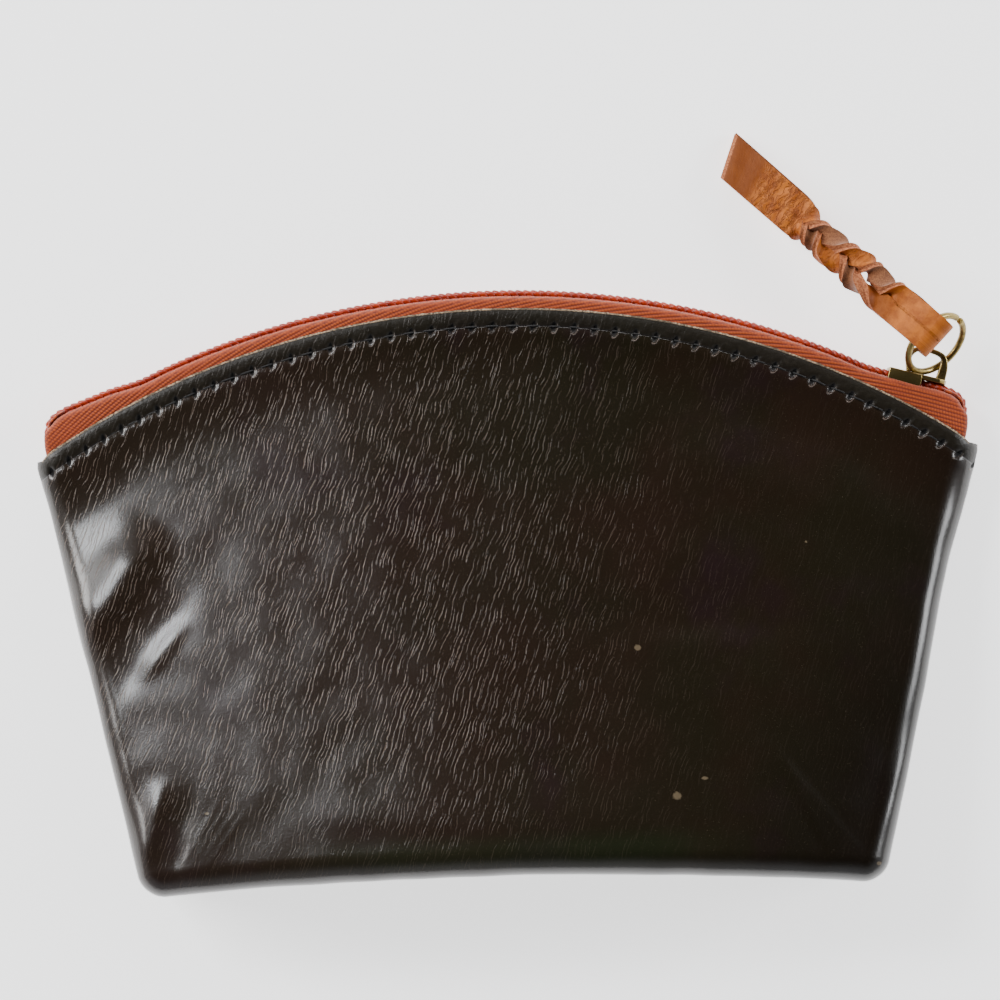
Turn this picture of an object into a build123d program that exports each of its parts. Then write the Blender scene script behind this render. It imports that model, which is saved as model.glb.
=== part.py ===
from build123d import *
import math
import os

# A boxed leather pouch with an arched zip, lying on its back.
# Millimetres. +X along the width, +Y towards the zip, +Z up from the table.
# The origin is on the back panel's rest face.

os.makedirs("parts", exist_ok=True)

# ---- driving dimensions -------------------------------------------------

HALF_TOP = 82.5         # half width at the ends of the zip
Y_TOP = 24.5            # height of those corners above the origin
HALF_BASE = 64.6        # half width just above the boxed base
Y_BASE_SIDE = -49.6
HALF_FLOOR = 61.8       # half width of the base itself
Y_FLOOR_CORNER = -51.7
Y_FLOOR_MID = -48.6
Y_FAR = 62.0            # the sides are carried on to here before the arch is cut
LEAN = (HALF_TOP - HALF_BASE) / (Y_TOP - Y_BASE_SIDE)

LEATHER_ARCH_Y = -97.0  # centre of the leather's arched edge
LEATHER_ARCH_R = 146.4
ZIP_ARCH_Y = -104.0     # centre of the zip's arc, about which the slider travels
ZIP_ARCH_R = 156.6      # to the outer side of the coil

T_TOP = 10.6            # thickness of the closed mouth
Z_MID = T_TOP / 2       # plane of the zip
SEAM_Z_BASE = 14.5      # height of the base seam above the table
SEAM_Y_BASE = -50.0
FLAT_R = 139.5          # the front is level outside this radius
SLOPE = 0.25            # and rises towards the base inside it
EDGE_ROUND = 4.6        # rounding of the side and base edges
LEATHER = 1.2
LINING = 0.4
LINING_GAP = 0.55       # room between leather and lining for the tape and seams
LINING_TOP_R = 144.0

TAPE = 0.5
TAPE_END_R = 139.7      # the tape's hidden edge under the leather
COIL_H = 1.25
COIL_W = 1.7
COIL_IN = 0.5           # from the zip's mid plane to the coil's inner side
ZIP_HALF = 79.2         # half length of the chain along X

STITCH_PITCH = 3.58
STITCH_LEN = 2.7
STITCH_R = 0.27
STITCH_LINE_R = 143.3   # radius of the topstitch line on the leather's arch
STITCH_REACH = 76.5     # half width of the topstitched stretch
CREASE = 0.35           # depth of the crease the topstitch lies in
SEAM_PITCH = 3.2        # stitches of the hidden side and base seams
SEAM_STITCH = 2.4

SPLIT_LOW = 21.0        # the front panel bends between these two heights
SPLIT_HIGH = 27.5

SLIDER_ANGLE = 27.66    # degrees from the top of the arc, at the closed end
SLIDER_TILT = 5.0       # nose lifted off the arc
SLIDER_LEN = 10.4
SLIDER_W = 6.5
FLANGE_IN = 2.72        # half width of the channel for the coils

RING_R = 5.865          # to the middle of the wire
WIRE_R = 0.6
RING_AT = (75.85, 41.60, 8.75)
RING_LONG = 41.4        # direction of the axis the ring is tilted about
RING_TILT = 52.4

TAB_W = 7.5
TAB_LAYER = 1.1
TAB_DIR = 136.6         # direction of the strap, seen from above
TAB_DROP = 13.6         # slope of the strap down to the table
TAB_SAG = 0.62          # the strap hangs this much below the middle of the wire
TAB_LEN = 47.6          # from the ring's wire to the cut end

EPS = 0.02              # parting between solids that meet


def save(part, node):
    part.label = node
    export_step(part, f"parts/{node}.step")


def box(x0, x1, y0, y1, z0, z1):
    """A box between two corners."""
    made = Box(x1 - x0, y1 - y0, z1 - z0)
    return Pos((x0 + x1) / 2, (y0 + y1) / 2, (z0 + z1) / 2) * made


def spin(points, centre_y):
    """A closed (radius, z) outline turned about the arc's centre."""
    outline = Polyline(*[(r, 0, z) for r, z in points], close=True)
    ring = revolve(make_face(outline), Axis.Z, 360)
    return Pos(0, centre_y, 0) * ring


def disc(radius, centre_y, z0=-20, z1=80):
    """A tall cylinder about an arc's centre."""
    made = Cylinder(radius, z1 - z0)
    return Pos(0, centre_y, (z0 + z1) / 2) * made


# ---- pouch shell ---------------------------------------------------------

def outline_face(inset):
    """The pouch seen from the front, with its sides carried on past the zip."""
    x_far = HALF_TOP + LEAN * (Y_FAR - Y_TOP) - inset
    xb = HALF_BASE - inset
    xf = HALF_FLOOR - inset * 0.8
    yf = Y_FLOOR_CORNER + inset
    ym = Y_FLOOR_MID + inset
    yb = Y_BASE_SIDE + inset * 0.5
    edges = [
        Line((xf, yf), (xb, yb)),
        Line((xb, yb), (x_far, Y_FAR)),
        Line((x_far, Y_FAR), (-x_far, Y_FAR)),
        Line((-x_far, Y_FAR), (-xb, yb)),
        Line((-xb, yb), (-xf, yf)),
        ThreePointArc((-xf, yf), (0, ym), (xf, yf)),
    ]
    return make_face(edges)


def front_profile(inset):
    """(radius, z) outline under the front surface: level, then a cone."""
    top = T_TOP - inset
    bend = 7.0
    points = [(0.5, inset), (190.0, inset), (190.0, top), (FLAT_R, top)]
    for n in range(1, 5):
        u = bend * n / 4
        points.append((FLAT_R - u, top + SLOPE * u * u / (2 * bend)))
    points.append((0.5, top + SLOPE * (FLAT_R - 0.5 - bend / 2)))
    return points


def pouch_solid(inset, rounding, ease=fillet):
    """The pouch as a solid, inset on every side, its mouth left long."""
    prism = extrude(outline_face(inset), 60)
    body = prism & spin(front_profile(inset), LEATHER_ARCH_Y)
    seats = []
    for edge in body.edges():
        middle = edge.position_at(0.5)
        low = edge.position_at(0.0)
        high = edge.position_at(1.0)
        upright = abs(low.X - high.X) < 1e-3 and abs(low.Y - high.Y) < 1e-3
        x_side = HALF_TOP + LEAN * (middle.Y - Y_TOP) - inset
        on_side = abs(middle.X) > x_side - 1.5 and middle.Y > Y_BASE_SIDE
        on_base = middle.Y < Y_FLOOR_MID + inset + 0.5
        if middle.Y < Y_FAR - 0.5 and not upright and (on_side or on_base):
            seats.append(edge)
    return ease(seats, rounding)


def seam_z(y):
    """Height of the seam plane, where the front and back leathers meet."""
    return Z_MID + (SEAM_Z_BASE - Z_MID) / (SEAM_Y_BASE - Y_TOP) * (y - Y_TOP)


def seam_side(upper):
    """Half space on one side of the sloping plane of the side seams."""
    far = 90.0 if upper else -30.0
    gap = EPS if upper else -EPS
    outline = Polyline(
        (0, 70.0, seam_z(70.0) + gap),
        (0, -70.0, seam_z(-70.0) + gap),
        (0, -70.0, far),
        (0, 70.0, far),
        close=True,
    )
    return extrude(make_face(outline), 120, dir=(1, 0, 0), both=True)


within_arch = disc(LEATHER_ARCH_R, LEATHER_ARCH_Y)
outer = pouch_solid(0.0, EDGE_ROUND)
inner = pouch_solid(LEATHER, EDGE_ROUND - LEATHER)
shell = (outer - inner) & within_arch

back_leather = shell & seam_side(False)
front_leather = shell & seam_side(True)

# the topstitch lies in a shallow crease pressed along the arch
crease_r = STITCH_LINE_R
crease_w = 0.45
front_crease = spin(
    [
        (crease_r - crease_w, T_TOP + 1),
        (crease_r + crease_w, T_TOP + 1),
        (crease_r + crease_w, T_TOP - CREASE),
        (crease_r - crease_w, T_TOP - CREASE),
    ],
    LEATHER_ARCH_Y,
)
back_crease = spin(
    [
        (crease_r - crease_w, -1),
        (crease_r + crease_w, -1),
        (crease_r + crease_w, CREASE),
        (crease_r - crease_w, CREASE),
    ],
    LEATHER_ARCH_Y,
)
back_leather = back_leather - (back_crease & box(-90, 90, 15, 60, -2, 2))
front_leather = front_leather - (front_crease & box(-90, 90, 15, 60, 8, 12))

front_low = front_leather & box(-95, 95, -60, SPLIT_LOW - EPS, -5, 60)
front_fold = front_leather & box(-95, 95, SPLIT_LOW + EPS, SPLIT_HIGH - EPS, -5, 60)
front_dome = front_leather & box(-95, 95, SPLIT_HIGH + EPS, 60, -5, 60)

save(back_leather, "back_panel")
save(front_low, "front_panel")
save(front_fold, "front_panel_fold")
save(front_dome, "front_panel_dome")

# ---- lining ---------------------------------------------------------------

lining_out = LEATHER + LINING_GAP
lining_in = lining_out + LINING
lining = pouch_solid(lining_out, 1.6, chamfer) - pouch_solid(lining_in, 1.4, chamfer)
lining = lining & disc(LINING_TOP_R, LEATHER_ARCH_Y)
front_lining = lining & seam_side(True)
back_lining = lining & seam_side(False)

save(back_lining, "back_lining")
save(front_lining & box(-95, 95, -60, SPLIT_LOW - EPS, -5, 60), "front_lining")
save(front_lining & box(-95, 95, SPLIT_HIGH + EPS, 60, -5, 60), "front_lining_dome")

# ---- zip --------------------------------------------------------------------

def mirror_zip(part):
    """The same piece on the back half of the zip."""
    return mirror(part, Plane.XY.offset(Z_MID))


tape_top = ZIP_ARCH_R - COIL_H - 0.05
tape_wall_out = T_TOP - LEATHER - EPS
bend_out = 0.9
tape_profile = [
    (tape_top, Z_MID + 0.9),
    (tape_top, tape_wall_out - bend_out),
    (tape_top - 0.26, tape_wall_out - 0.26),
    (tape_top - bend_out, tape_wall_out),
    (TAPE_END_R - 2, tape_wall_out),
    (TAPE_END_R - 2, tape_wall_out - TAPE),
    (tape_top - bend_out, tape_wall_out - TAPE),
    (tape_top - TAPE, tape_wall_out - bend_out),
    (tape_top - TAPE, Z_MID + 0.9),
]
zip_room = box(-ZIP_HALF, ZIP_HALF, SPLIT_HIGH + EPS, 60, -5, 20)
front_tape = spin(tape_profile, ZIP_ARCH_Y) & zip_room
front_tape = front_tape - disc(TAPE_END_R, LEATHER_ARCH_Y)
save(front_tape, "front_tape")
save(mirror_zip(front_tape), "back_tape")

coil_z0 = Z_MID + COIL_IN
coil_z1 = coil_z0 + COIL_W
coil_in_r = ZIP_ARCH_R - COIL_H
cut = 0.35


def rounded(r0, r1, z0, z1, c):
    """A rectangle in (radius, z) with its corners cut."""
    return [
        (r0 + c, z0),
        (r1 - c, z0),
        (r1, z0 + c),
        (r1, z1 - c),
        (r1 - c, z1),
        (r0 + c, z1),
        (r0, z1 - c),
        (r0, z0 + c),
    ]


cord_mid_r = ZIP_ARCH_R - COIL_H / 2
cord_mid_z = (coil_z0 + coil_z1) / 2
hollow = rounded(cord_mid_r - 0.33, cord_mid_r + 0.33, cord_mid_z - 0.5, cord_mid_z + 0.5, 0.12)
cord_line = rounded(cord_mid_r - 0.28, cord_mid_r + 0.28, cord_mid_z - 0.45, cord_mid_z + 0.45, 0.15)
coil = spin(rounded(coil_in_r, ZIP_ARCH_R, coil_z0, coil_z1, cut), ZIP_ARCH_Y)
coil = (coil - spin(hollow, ZIP_ARCH_Y)) & zip_room
cord = spin(cord_line, ZIP_ARCH_Y) & zip_room
thread_r = tape_top + 0.24
thread_z = coil_z1 + 0.26
thread = spin(rounded(thread_r - 0.18, thread_r + 0.18, thread_z - 0.18, thread_z + 0.18, 0.08), ZIP_ARCH_Y)
thread = thread & zip_room

save(coil, "front_coil")
save(mirror_zip(coil), "back_coil")
save(cord, "front_coil_cord")
save(mirror_zip(cord), "back_coil_cord")
save(thread, "front_coil_thread")
save(mirror_zip(thread), "back_coil_thread")


def zip_end(side):
    """The tape's end, turned down over the corner of the mouth."""
    x0 = ZIP_HALF + 0.15
    x1 = 81.0
    y_top = ZIP_ARCH_Y + math.sqrt(ZIP_ARCH_R ** 2 - ZIP_HALF ** 2) - 0.4
    edges = [
        Line((x0, 20.0), (x1, 20.0)),
        Line((x1, 20.0), (x1, y_top - 1.9)),
        ThreePointArc((x1, y_top - 1.9), (x1 - 0.5, y_top - 0.6), (x0, y_top)),
        Line((x0, y_top), (x0, 20.0)),
    ]
    end = Pos(0, 0, LEATHER + 0.1) * extrude(make_face(edges), T_TOP - 2 * LEATHER - 0.2)
    end = end & box(70, 90, 22.5, 40, -5, 20)
    end = end - shell - lining
    solids = sorted(end.solids(), key=lambda s: s.volume)
    end = solids[-1]
    return end if side > 0 else mirror(end, Plane.YZ)


save(Part() + zip_end(1), "zip_end_right")
save(Part() + zip_end(-1), "zip_end_left")

# ---- thread -----------------------------------------------------------------

def stitch(length, radius):
    """One stitch, lying along X."""
    bar = Rot(0, 90, 0) * Cylinder(radius, length - 2 * radius)
    ends = Pos((length - 2 * radius) / 2, 0, 0) * Sphere(radius)
    ends += Pos(-(length - 2 * radius) / 2, 0, 0) * Sphere(radius)
    return bar + ends


def arch_stitches(z):
    """The topstitch, one stitch after another along the leather's arch."""
    step = math.degrees(STITCH_PITCH / STITCH_LINE_R)
    reach = math.degrees(math.asin(STITCH_REACH / STITCH_LINE_R))
    count = int(2 * reach / step)
    one = Pos(0, STITCH_LINE_R, z) * stitch(STITCH_LEN, STITCH_R)
    made = []
    for n in range(count + 1):
        turn = (n - count / 2) * step
        made.append(Pos(0, LEATHER_ARCH_Y, 0) * Rot(0, 0, -turn) * one)
    return made


lie = STITCH_R + EPS
front_stitches = []
for one in arch_stitches(T_TOP - CREASE + lie):
    if one.bounding_box().min.Y > SPLIT_HIGH + EPS:
        front_stitches.append(one)
save(Compound(children=front_stitches), "front_topstitch")
back_stitches = []
for one in arch_stitches(CREASE - lie):
    if one.bounding_box().min.Y > SPLIT_HIGH + EPS:
        back_stitches.append(one)
save(Compound(children=back_stitches), "back_topstitch")


def seam_stitches(start, end, radius=0.19):
    """Stitches along a straight seam, just inside the leather."""
    run = Vector(*end) - Vector(*start)
    count = int(run.length / SEAM_PITCH)
    way = run.normalized()
    turn = math.degrees(math.atan2(way.Y, way.X))
    rise = math.degrees(math.asin(way.Z))
    made = []
    for n in range(count):
        at = Vector(*start) + way * (SEAM_PITCH * (n + 0.5))
        one = stitch(SEAM_STITCH, radius)
        made.append(Pos(at.X, at.Y, at.Z) * Rot(0, 0, turn) * Rot(0, -rise, 0) * one)
    return Compound(children=made)


seam_in = LEATHER + 0.29     # from the outside of the leather to the seam thread


def side_point(y):
    """A point of the right side seam, inside the leather."""
    x = HALF_TOP + LEAN * (y - Y_TOP) - seam_in / math.cos(math.atan(LEAN))
    return (x, y, seam_z(y))


low = side_point(-42.0)
high = side_point(8.0)
save(seam_stitches(low, high), "side_seam_thread_right")
save(
    seam_stitches((-low[0], low[1], low[2]), (-high[0], high[1], high[2])),
    "side_seam_thread_left",
)

floor_rise = Y_FLOOR_MID - Y_FLOOR_CORNER
floor_half = HALF_FLOOR - LEATHER * 0.8
floor_r = (floor_half ** 2 + floor_rise ** 2) / (2 * floor_rise)
base_stitches = []
for n in range(-15, 16):
    x = 3.3 * n
    y = Y_FLOOR_MID + LEATHER + 0.27 - (floor_r - math.sqrt(floor_r ** 2 - x * x))
    turn = -math.degrees(math.asin(x / floor_r))
    base_stitches.append(Pos(x, y, seam_z(y)) * Rot(0, 0, turn) * stitch(SEAM_STITCH, 0.2))
save(Compound(children=base_stitches), "base_seam_thread")

# ---- slider --------------------------------------------------------------------

def at_slider(part):
    """From the top of the zip's arc, z along the pouch's depth, to the slider's place."""
    part = Pos(0, -ZIP_ARCH_Y, 0) * part
    part = Rot(0, 0, -SLIDER_ANGLE) * part
    return Pos(0, ZIP_ARCH_Y, 0) * part


coil_top = ZIP_ARCH_Y + ZIP_ARCH_R
half = SLIDER_LEN / 2
plate_top = 1.2
plate_low = -3.05


def plan_outline(y):
    """The slider from above: a narrow tail, wide shoulders and a round nose."""
    w = SLIDER_W / 2
    points = [
        (-half, -w * 0.84),
        (-half + 0.5, -w * 0.92),
        (0.4, -w * 0.96),
        (1.8, -w),
        (half - 1.3, -w),
        (half - 0.35, -w * 0.74),
        (half, -w * 0.3),
        (half, w * 0.3),
        (half - 0.35, w * 0.74),
        (half - 1.3, w),
        (1.8, w),
        (0.4, w * 0.96),
        (-half + 0.5, w * 0.92),
        (-half, w * 0.84),
    ]
    outline = Polyline(*[(s, y, z) for s, z in points], close=True)
    return make_face(outline)


block = extrude(plan_outline(plate_low), plate_top - plate_low, dir=(0, 1, 0))
block = Pos(0, coil_top, Z_MID) * Rot(0, 0, SLIDER_TILT) * block

room = 0.08
channel = spin(
    [
        (tape_top - TAPE - room, Z_MID - FLANGE_IN),
        (ZIP_ARCH_R + room, Z_MID - FLANGE_IN),
        (ZIP_ARCH_R + room, Z_MID + FLANGE_IN),
        (tape_top - TAPE - room, Z_MID + FLANGE_IN),
    ],
    ZIP_ARCH_Y,
)
tape_slot = spin(
    [
        (tape_top - TAPE - room, Z_MID - 6),
        (tape_top + room, Z_MID - 6),
        (tape_top + room, Z_MID + 6),
        (tape_top - TAPE - room, Z_MID + 6),
    ],
    ZIP_ARCH_Y,
)
shoulder_room = spin(
    [
        (tape_top - TAPE - room, Z_MID - 6),
        (ZIP_ARCH_R + room, Z_MID - 6),
        (ZIP_ARCH_R + room, Z_MID + 6),
        (tape_top - TAPE - room, Z_MID + 6),
    ],
    ZIP_ARCH_Y,
)
shoulder_room = shoulder_room & box(0.9, 20, 0, 80, -10, 20)
divider = box(2.0, half - 0.25, coil_top + plate_low + 0.5, coil_top + 0.6, Z_MID - 0.4, Z_MID + 0.4)
divider = Pos(0, coil_top, 0) * Rot(0, 0, SLIDER_TILT) * Pos(0, -coil_top, 0) * divider
slider = block - channel - tape_slot - shoulder_room + divider
slider = Part() + slider
save(at_slider(slider), "slider_body")

crown_outer = Polyline(
    (5.0, plate_top + 0.01),
    (4.75, 5.3),
    (3.9, 6.1),
    (0.9, 6.25),
    (-0.9, 6.15),
    (-2.3, 5.25),
    (-2.75, 3.9),
    (-2.3, 2.3),
    (-1.9, plate_top + 0.01),
    close=True,
)
crown_inner = Polyline(
    (3.6, 0.0),
    (3.6, 5.2),
    (0.7, 5.35),
    (-0.8, 5.25),
    (-1.5, 4.5),
    (-1.75, 3.7),
    (-1.4, 2.3),
    (-1.1, 0.0),
    close=True,
)
crown_half = 0.6
crown = extrude(make_face(crown_outer), crown_half, both=True)
crown = crown - extrude(make_face(crown_inner), 2, both=True)
crown = Pos(0, coil_top, Z_MID) * Rot(0, 0, SLIDER_TILT) * crown
save(Part() + at_slider(crown), "slider_crown")

# ---- ring and tab ------------------------------------------------------------------

ring = Torus(RING_R, WIRE_R)
gap_turn = Rot(0, 0, 8.0)
ring = ring - gap_turn * box(RING_R - 1, RING_R + 1, -0.06, 0.06, -1, 1)
ring = Pos(*RING_AT) * Rot(0, 0, RING_LONG) * Rot(RING_TILT, 0, 0) * ring
save(Part() + ring, "jump_ring")


def tab_blank():
    """The strap from the side: folded round the wire, then two layers together."""
    cave = WIRE_R + 0.92
    thick = cave + TAB_LAYER
    layer = TAB_LAYER + 0.02
    back = 2.2
    outer_edges = [
        ThreePointArc((-back, thick), (-back - thick, 0), (-back, -thick)),
        Line((-back, -thick), (0.6, -thick)),
        Line((0.6, -thick), (6.0, -layer)),
        Line((6.0, -layer), (TAB_LEN + 3, -layer)),
        Line((TAB_LEN + 3, -layer), (TAB_LEN + 3, layer)),
        Line((TAB_LEN + 3, layer), (6.0, layer)),
        Line((6.0, layer), (0.6, thick)),
        Line((0.6, thick), (-back, thick)),
    ]
    cave_edges = [
        ThreePointArc((-back, cave), (-back - cave, 0), (-back, -cave)),
        Line((-back, -cave), (0.9, -cave)),
        Line((0.9, -cave), (5.2, 0)),
        Line((5.2, 0), (0.9, cave)),
        Line((0.9, cave), (-back, cave)),
    ]
    solid = extrude(make_face(outer_edges), TAB_W / 2, both=True)
    return solid - extrude(make_face(cave_edges), TAB_W, both=True)


strap = tab_blank()
# into a frame with x along the strap, y across it and z up
strap = Rot(90, 0, 0) * strap
eye = Pos(16.2, 0, 0) * extrude(Ellipse(3.0, 0.95), 6, both=True)
slit = Pos(24.5, 0, 0) * extrude(Ellipse(3.2, 0.45), 6, both=True)
strap = strap - eye - slit
end_cut = Pos(TAB_LEN, 0, 0) * Rot(0, 0, -27) * box(0, 12, -12, 12, -5, 5)
strap = strap - end_cut
ring_short = (
    math.sin(math.radians(RING_LONG)) * -1,
    math.cos(math.radians(RING_LONG)),
)
flat = RING_R * math.cos(math.radians(RING_TILT))
TAB_AT = (
    RING_AT[0] + ring_short[0] * flat,
    RING_AT[1] + ring_short[1] * flat,
    RING_AT[2] + RING_R * math.sin(math.radians(RING_TILT)) - TAB_SAG,
)
strap = Pos(*TAB_AT) * Rot(0, 0, TAB_DIR) * Rot(0, TAB_DROP, 0) * strap
save(Part() + strap, "pull_tab")
print("tab at", [round(v, 2) for v in TAB_AT], "lowest", round(strap.bounding_box().min.Z, 3))
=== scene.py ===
import math

import bmesh
import bpy
import numpy as np
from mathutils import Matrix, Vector, noise


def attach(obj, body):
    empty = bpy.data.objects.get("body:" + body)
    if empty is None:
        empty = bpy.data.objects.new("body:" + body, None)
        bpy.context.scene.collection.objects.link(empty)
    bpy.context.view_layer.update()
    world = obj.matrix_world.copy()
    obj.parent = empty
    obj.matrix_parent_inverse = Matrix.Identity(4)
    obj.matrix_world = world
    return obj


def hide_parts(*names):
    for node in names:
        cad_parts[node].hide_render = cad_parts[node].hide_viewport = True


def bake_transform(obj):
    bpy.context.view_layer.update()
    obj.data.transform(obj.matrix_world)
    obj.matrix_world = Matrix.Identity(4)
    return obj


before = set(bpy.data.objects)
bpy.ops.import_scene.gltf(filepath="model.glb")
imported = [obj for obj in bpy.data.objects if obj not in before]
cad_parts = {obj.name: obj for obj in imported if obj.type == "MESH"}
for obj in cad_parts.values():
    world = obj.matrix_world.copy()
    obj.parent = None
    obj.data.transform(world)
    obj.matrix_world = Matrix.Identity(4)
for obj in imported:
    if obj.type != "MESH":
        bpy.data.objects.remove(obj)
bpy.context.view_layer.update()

# Sizes are in millimetres and follow the CAD model; meshes are written in metres.
MM = 0.001

HALF_TOP = 82.5
Y_TOP = 24.5
HALF_BASE = 64.6
Y_BASE_SIDE = -49.6
HALF_FLOOR = 61.8
Y_FLOOR_CORNER = -51.7
FLOOR_RISE = 3.1
LEAN = (HALF_TOP - HALF_BASE) / (Y_TOP - Y_BASE_SIDE)
ARCH_Y = -97.0
ARCH_R = 146.4
T_TOP = 10.6
Z_MID = T_TOP / 2
SEAM_Z_BASE = 14.5
SEAM_Y_BASE = -50.0
FLAT_R = 139.5
SLOPE = 0.25
EDGE_ROUND = 4.6
LEATHER = 1.2

ZIP_ARCH_Y = -104.0
ZIP_ARCH_R = 156.6
COIL_H = 1.25
TAPE_WALL = 9.38
TAPE_THICK = 0.5
TAPE_BEND = 0.9
TAPE_HIDDEN_R = 139.9
TAPE_HIDDEN_HALF = 75.5
BEAD_RISE = 0.16
ZIP_END_LOW = 2.4
BEAD_SHIFT = 40.0

STITCH_R = 143.3
STITCH_PITCH = 3.58
STITCH_REACH = 76.5
COIL_PITCH = 1.35


# ---- shader maths ------------------------------------------------------------

class Value:
    """A socket of a shader tree. Sums and products of it make Math nodes."""

    def __init__(self, finish, socket):
        self.finish = finish
        self.socket = socket

    def math(self, operation, *others, swap=False):
        terms = [*others, self] if swap else [self, *others]
        return self.finish.node("ShaderNodeMath", {"operation": operation}, dict(enumerate(terms)))

    def __add__(self, other):
        return self.math("ADD", other)

    def __radd__(self, other):
        return self.math("ADD", other, swap=True)

    def __sub__(self, other):
        return self.math("SUBTRACT", other)

    def __rsub__(self, other):
        return self.math("SUBTRACT", other, swap=True)

    def __mul__(self, other):
        return self.math("MULTIPLY", other)

    def __rmul__(self, other):
        return self.math("MULTIPLY", other, swap=True)

    def __truediv__(self, other):
        return self.math("DIVIDE", other)

    def __pow__(self, other):
        return self.math("POWER", other)

    def at_most(self, other):
        return self.math("MINIMUM", other)

    def at_least(self, other):
        return self.math("MAXIMUM", other)

    def absolute(self):
        return self.math("ABSOLUTE")

    def ramp(self, low, high, curve="SMOOTHSTEP"):
        """0 where this is below low, 1 above high."""
        sockets = {"Value": self, "From Min": low, "From Max": high}
        return self.finish.node("ShaderNodeMapRange", {"interpolation_type": curve}, sockets)


class Finish:
    """One material: its shader tree, and the calls that add nodes to it."""

    def __init__(self, name, **plain):
        self.material = bpy.data.materials.new(name)
        self.material.use_nodes = True
        self.tree = self.material.node_tree
        self.shader = next(n for n in self.tree.nodes if n.type == "BSDF_PRINCIPLED")
        self.set(**plain)
        place = self.node("ShaderNodeTexCoord", out="Object")
        self.place = self.node(
            "ShaderNodeMapping", {}, {"Vector": place, "Scale": (1 / MM, 1 / MM, 1 / MM)}
        )

    def node(self, kind, settings=None, sockets=None, out=0):
        made = self.tree.nodes.new(kind)
        for key, value in (settings or {}).items():
            setattr(made, key, value)
        for key, value in (sockets or {}).items():
            if isinstance(value, Value):
                self.tree.links.new(value.socket, made.inputs[key])
            else:
                made.inputs[key].default_value = value
        return Value(self, made.outputs[out])

    def set(self, **sockets):
        """Sets or links the shader's own sockets, named with _ for a space."""
        for key, value in sockets.items():
            name = key.replace("_", " ")
            if isinstance(value, Value):
                self.tree.links.new(value.socket, self.shader.inputs[name])
            elif name == "Base Color":
                self.shader.inputs[name].default_value = (*value, 1.0)
            else:
                self.shader.inputs[name].default_value = value

    def split(self, vector):
        return [self.node("ShaderNodeSeparateXYZ", {}, {0: vector}, out=n) for n in range(3)]

    def join(self, x, y, z=0.0):
        return self.node("ShaderNodeCombineXYZ", {}, {0: x, 1: y, 2: z})

    def map(self, vector, turn=0.0, scale=(1, 1, 1), move=(0, 0, 0)):
        sockets = {
            "Vector": vector,
            "Rotation": (0.0, 0.0, math.radians(turn)),
            "Scale": scale,
            "Location": move,
        }
        return self.node("ShaderNodeMapping", {}, sockets)

    def noise(self, vector, scale, detail=2.0, roughness=0.5, out=0):
        sockets = {"Vector": vector, "Scale": scale, "Detail": detail, "Roughness": roughness}
        return self.node("ShaderNodeTexNoise", {}, sockets, out=out)

    def cells(self, vector, scale, feature="DISTANCE_TO_EDGE", randomness=1.0, out=0):
        settings = {"feature": feature, "voronoi_dimensions": "2D"}
        sockets = {"Vector": vector, "Scale": scale, "Randomness": randomness}
        return self.node("ShaderNodeTexVoronoi", settings, sockets, out=out)

    def blend(self, factor, first, second):
        """A colour between two colours."""
        sockets = {0: factor}
        for key, value in ((6, first), (7, second)):
            sockets[key] = value if isinstance(value, Value) else (*value, 1.0)
        return self.node("ShaderNodeMix", {"data_type": "RGBA"}, sockets, out=2)

    def bump(self, height, strength, distance_mm, over=None):
        sockets = {"Height": height, "Strength": strength, "Distance": distance_mm * MM}
        if over is not None:
            sockets["Normal"] = over
        return self.node("ShaderNodeBump", {}, sockets)


def rgb(red, green, blue):
    """A colour given as eight-bit display values, as the shader's linear ones."""
    def linear(c):
        c = c / 255
        return c / 12.92 if c <= 0.04045 else ((c + 0.055) / 1.055) ** 2.4
    return (linear(red), linear(green), linear(blue))


# ---- finishes ------------------------------------------------------------------

def stitch_holes(finish, x, y):
    """Holes and puckers of the topstitch: (hole, pucker, line, distance from the line)."""
    up = y - ARCH_Y
    radius = (x * x + up * up) ** 0.5
    along = x.math("ARCTAN2", up) * (STITCH_R / STITCH_PITCH)
    count = stitch_count()
    phase = 0.0 if count % 2 else 0.5
    index = (along + phase).math("FLOOR")
    across = (along + phase) - index - 0.5
    wobble = finish.node("ShaderNodeTexWhiteNoise", {"noise_dimensions": "1D"}, {"W": index})
    step = across * STITCH_PITCH
    high = radius - STITCH_R
    lean = step + high * (wobble * 0.25 - 0.36)
    oval = ((lean / 0.46) ** 2.0 + (high / 0.92) ** 2.0) ** 0.5
    hole = 1.0 - oval.ramp(0.66, 1.06)
    ring = (((lean - 0.16) / 0.56) ** 2.0 + ((high + 0.24) / 1.0) ** 2.0) ** 0.5
    pucker = 1.0 - (ring - 1.0).absolute().ramp(0.06, 0.20)
    pucker = pucker * (lean - high * 0.55).ramp(0.30, 0.62) * (1.0 - hole)
    grain = finish.noise(finish.place, 2.2, 2.0)
    pucker = pucker * (grain + wobble * 0.35).ramp(0.46, 0.70)
    line = 1.0 - high.absolute().ramp(0.03, 0.22)
    return hole, pucker, line, high


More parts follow.
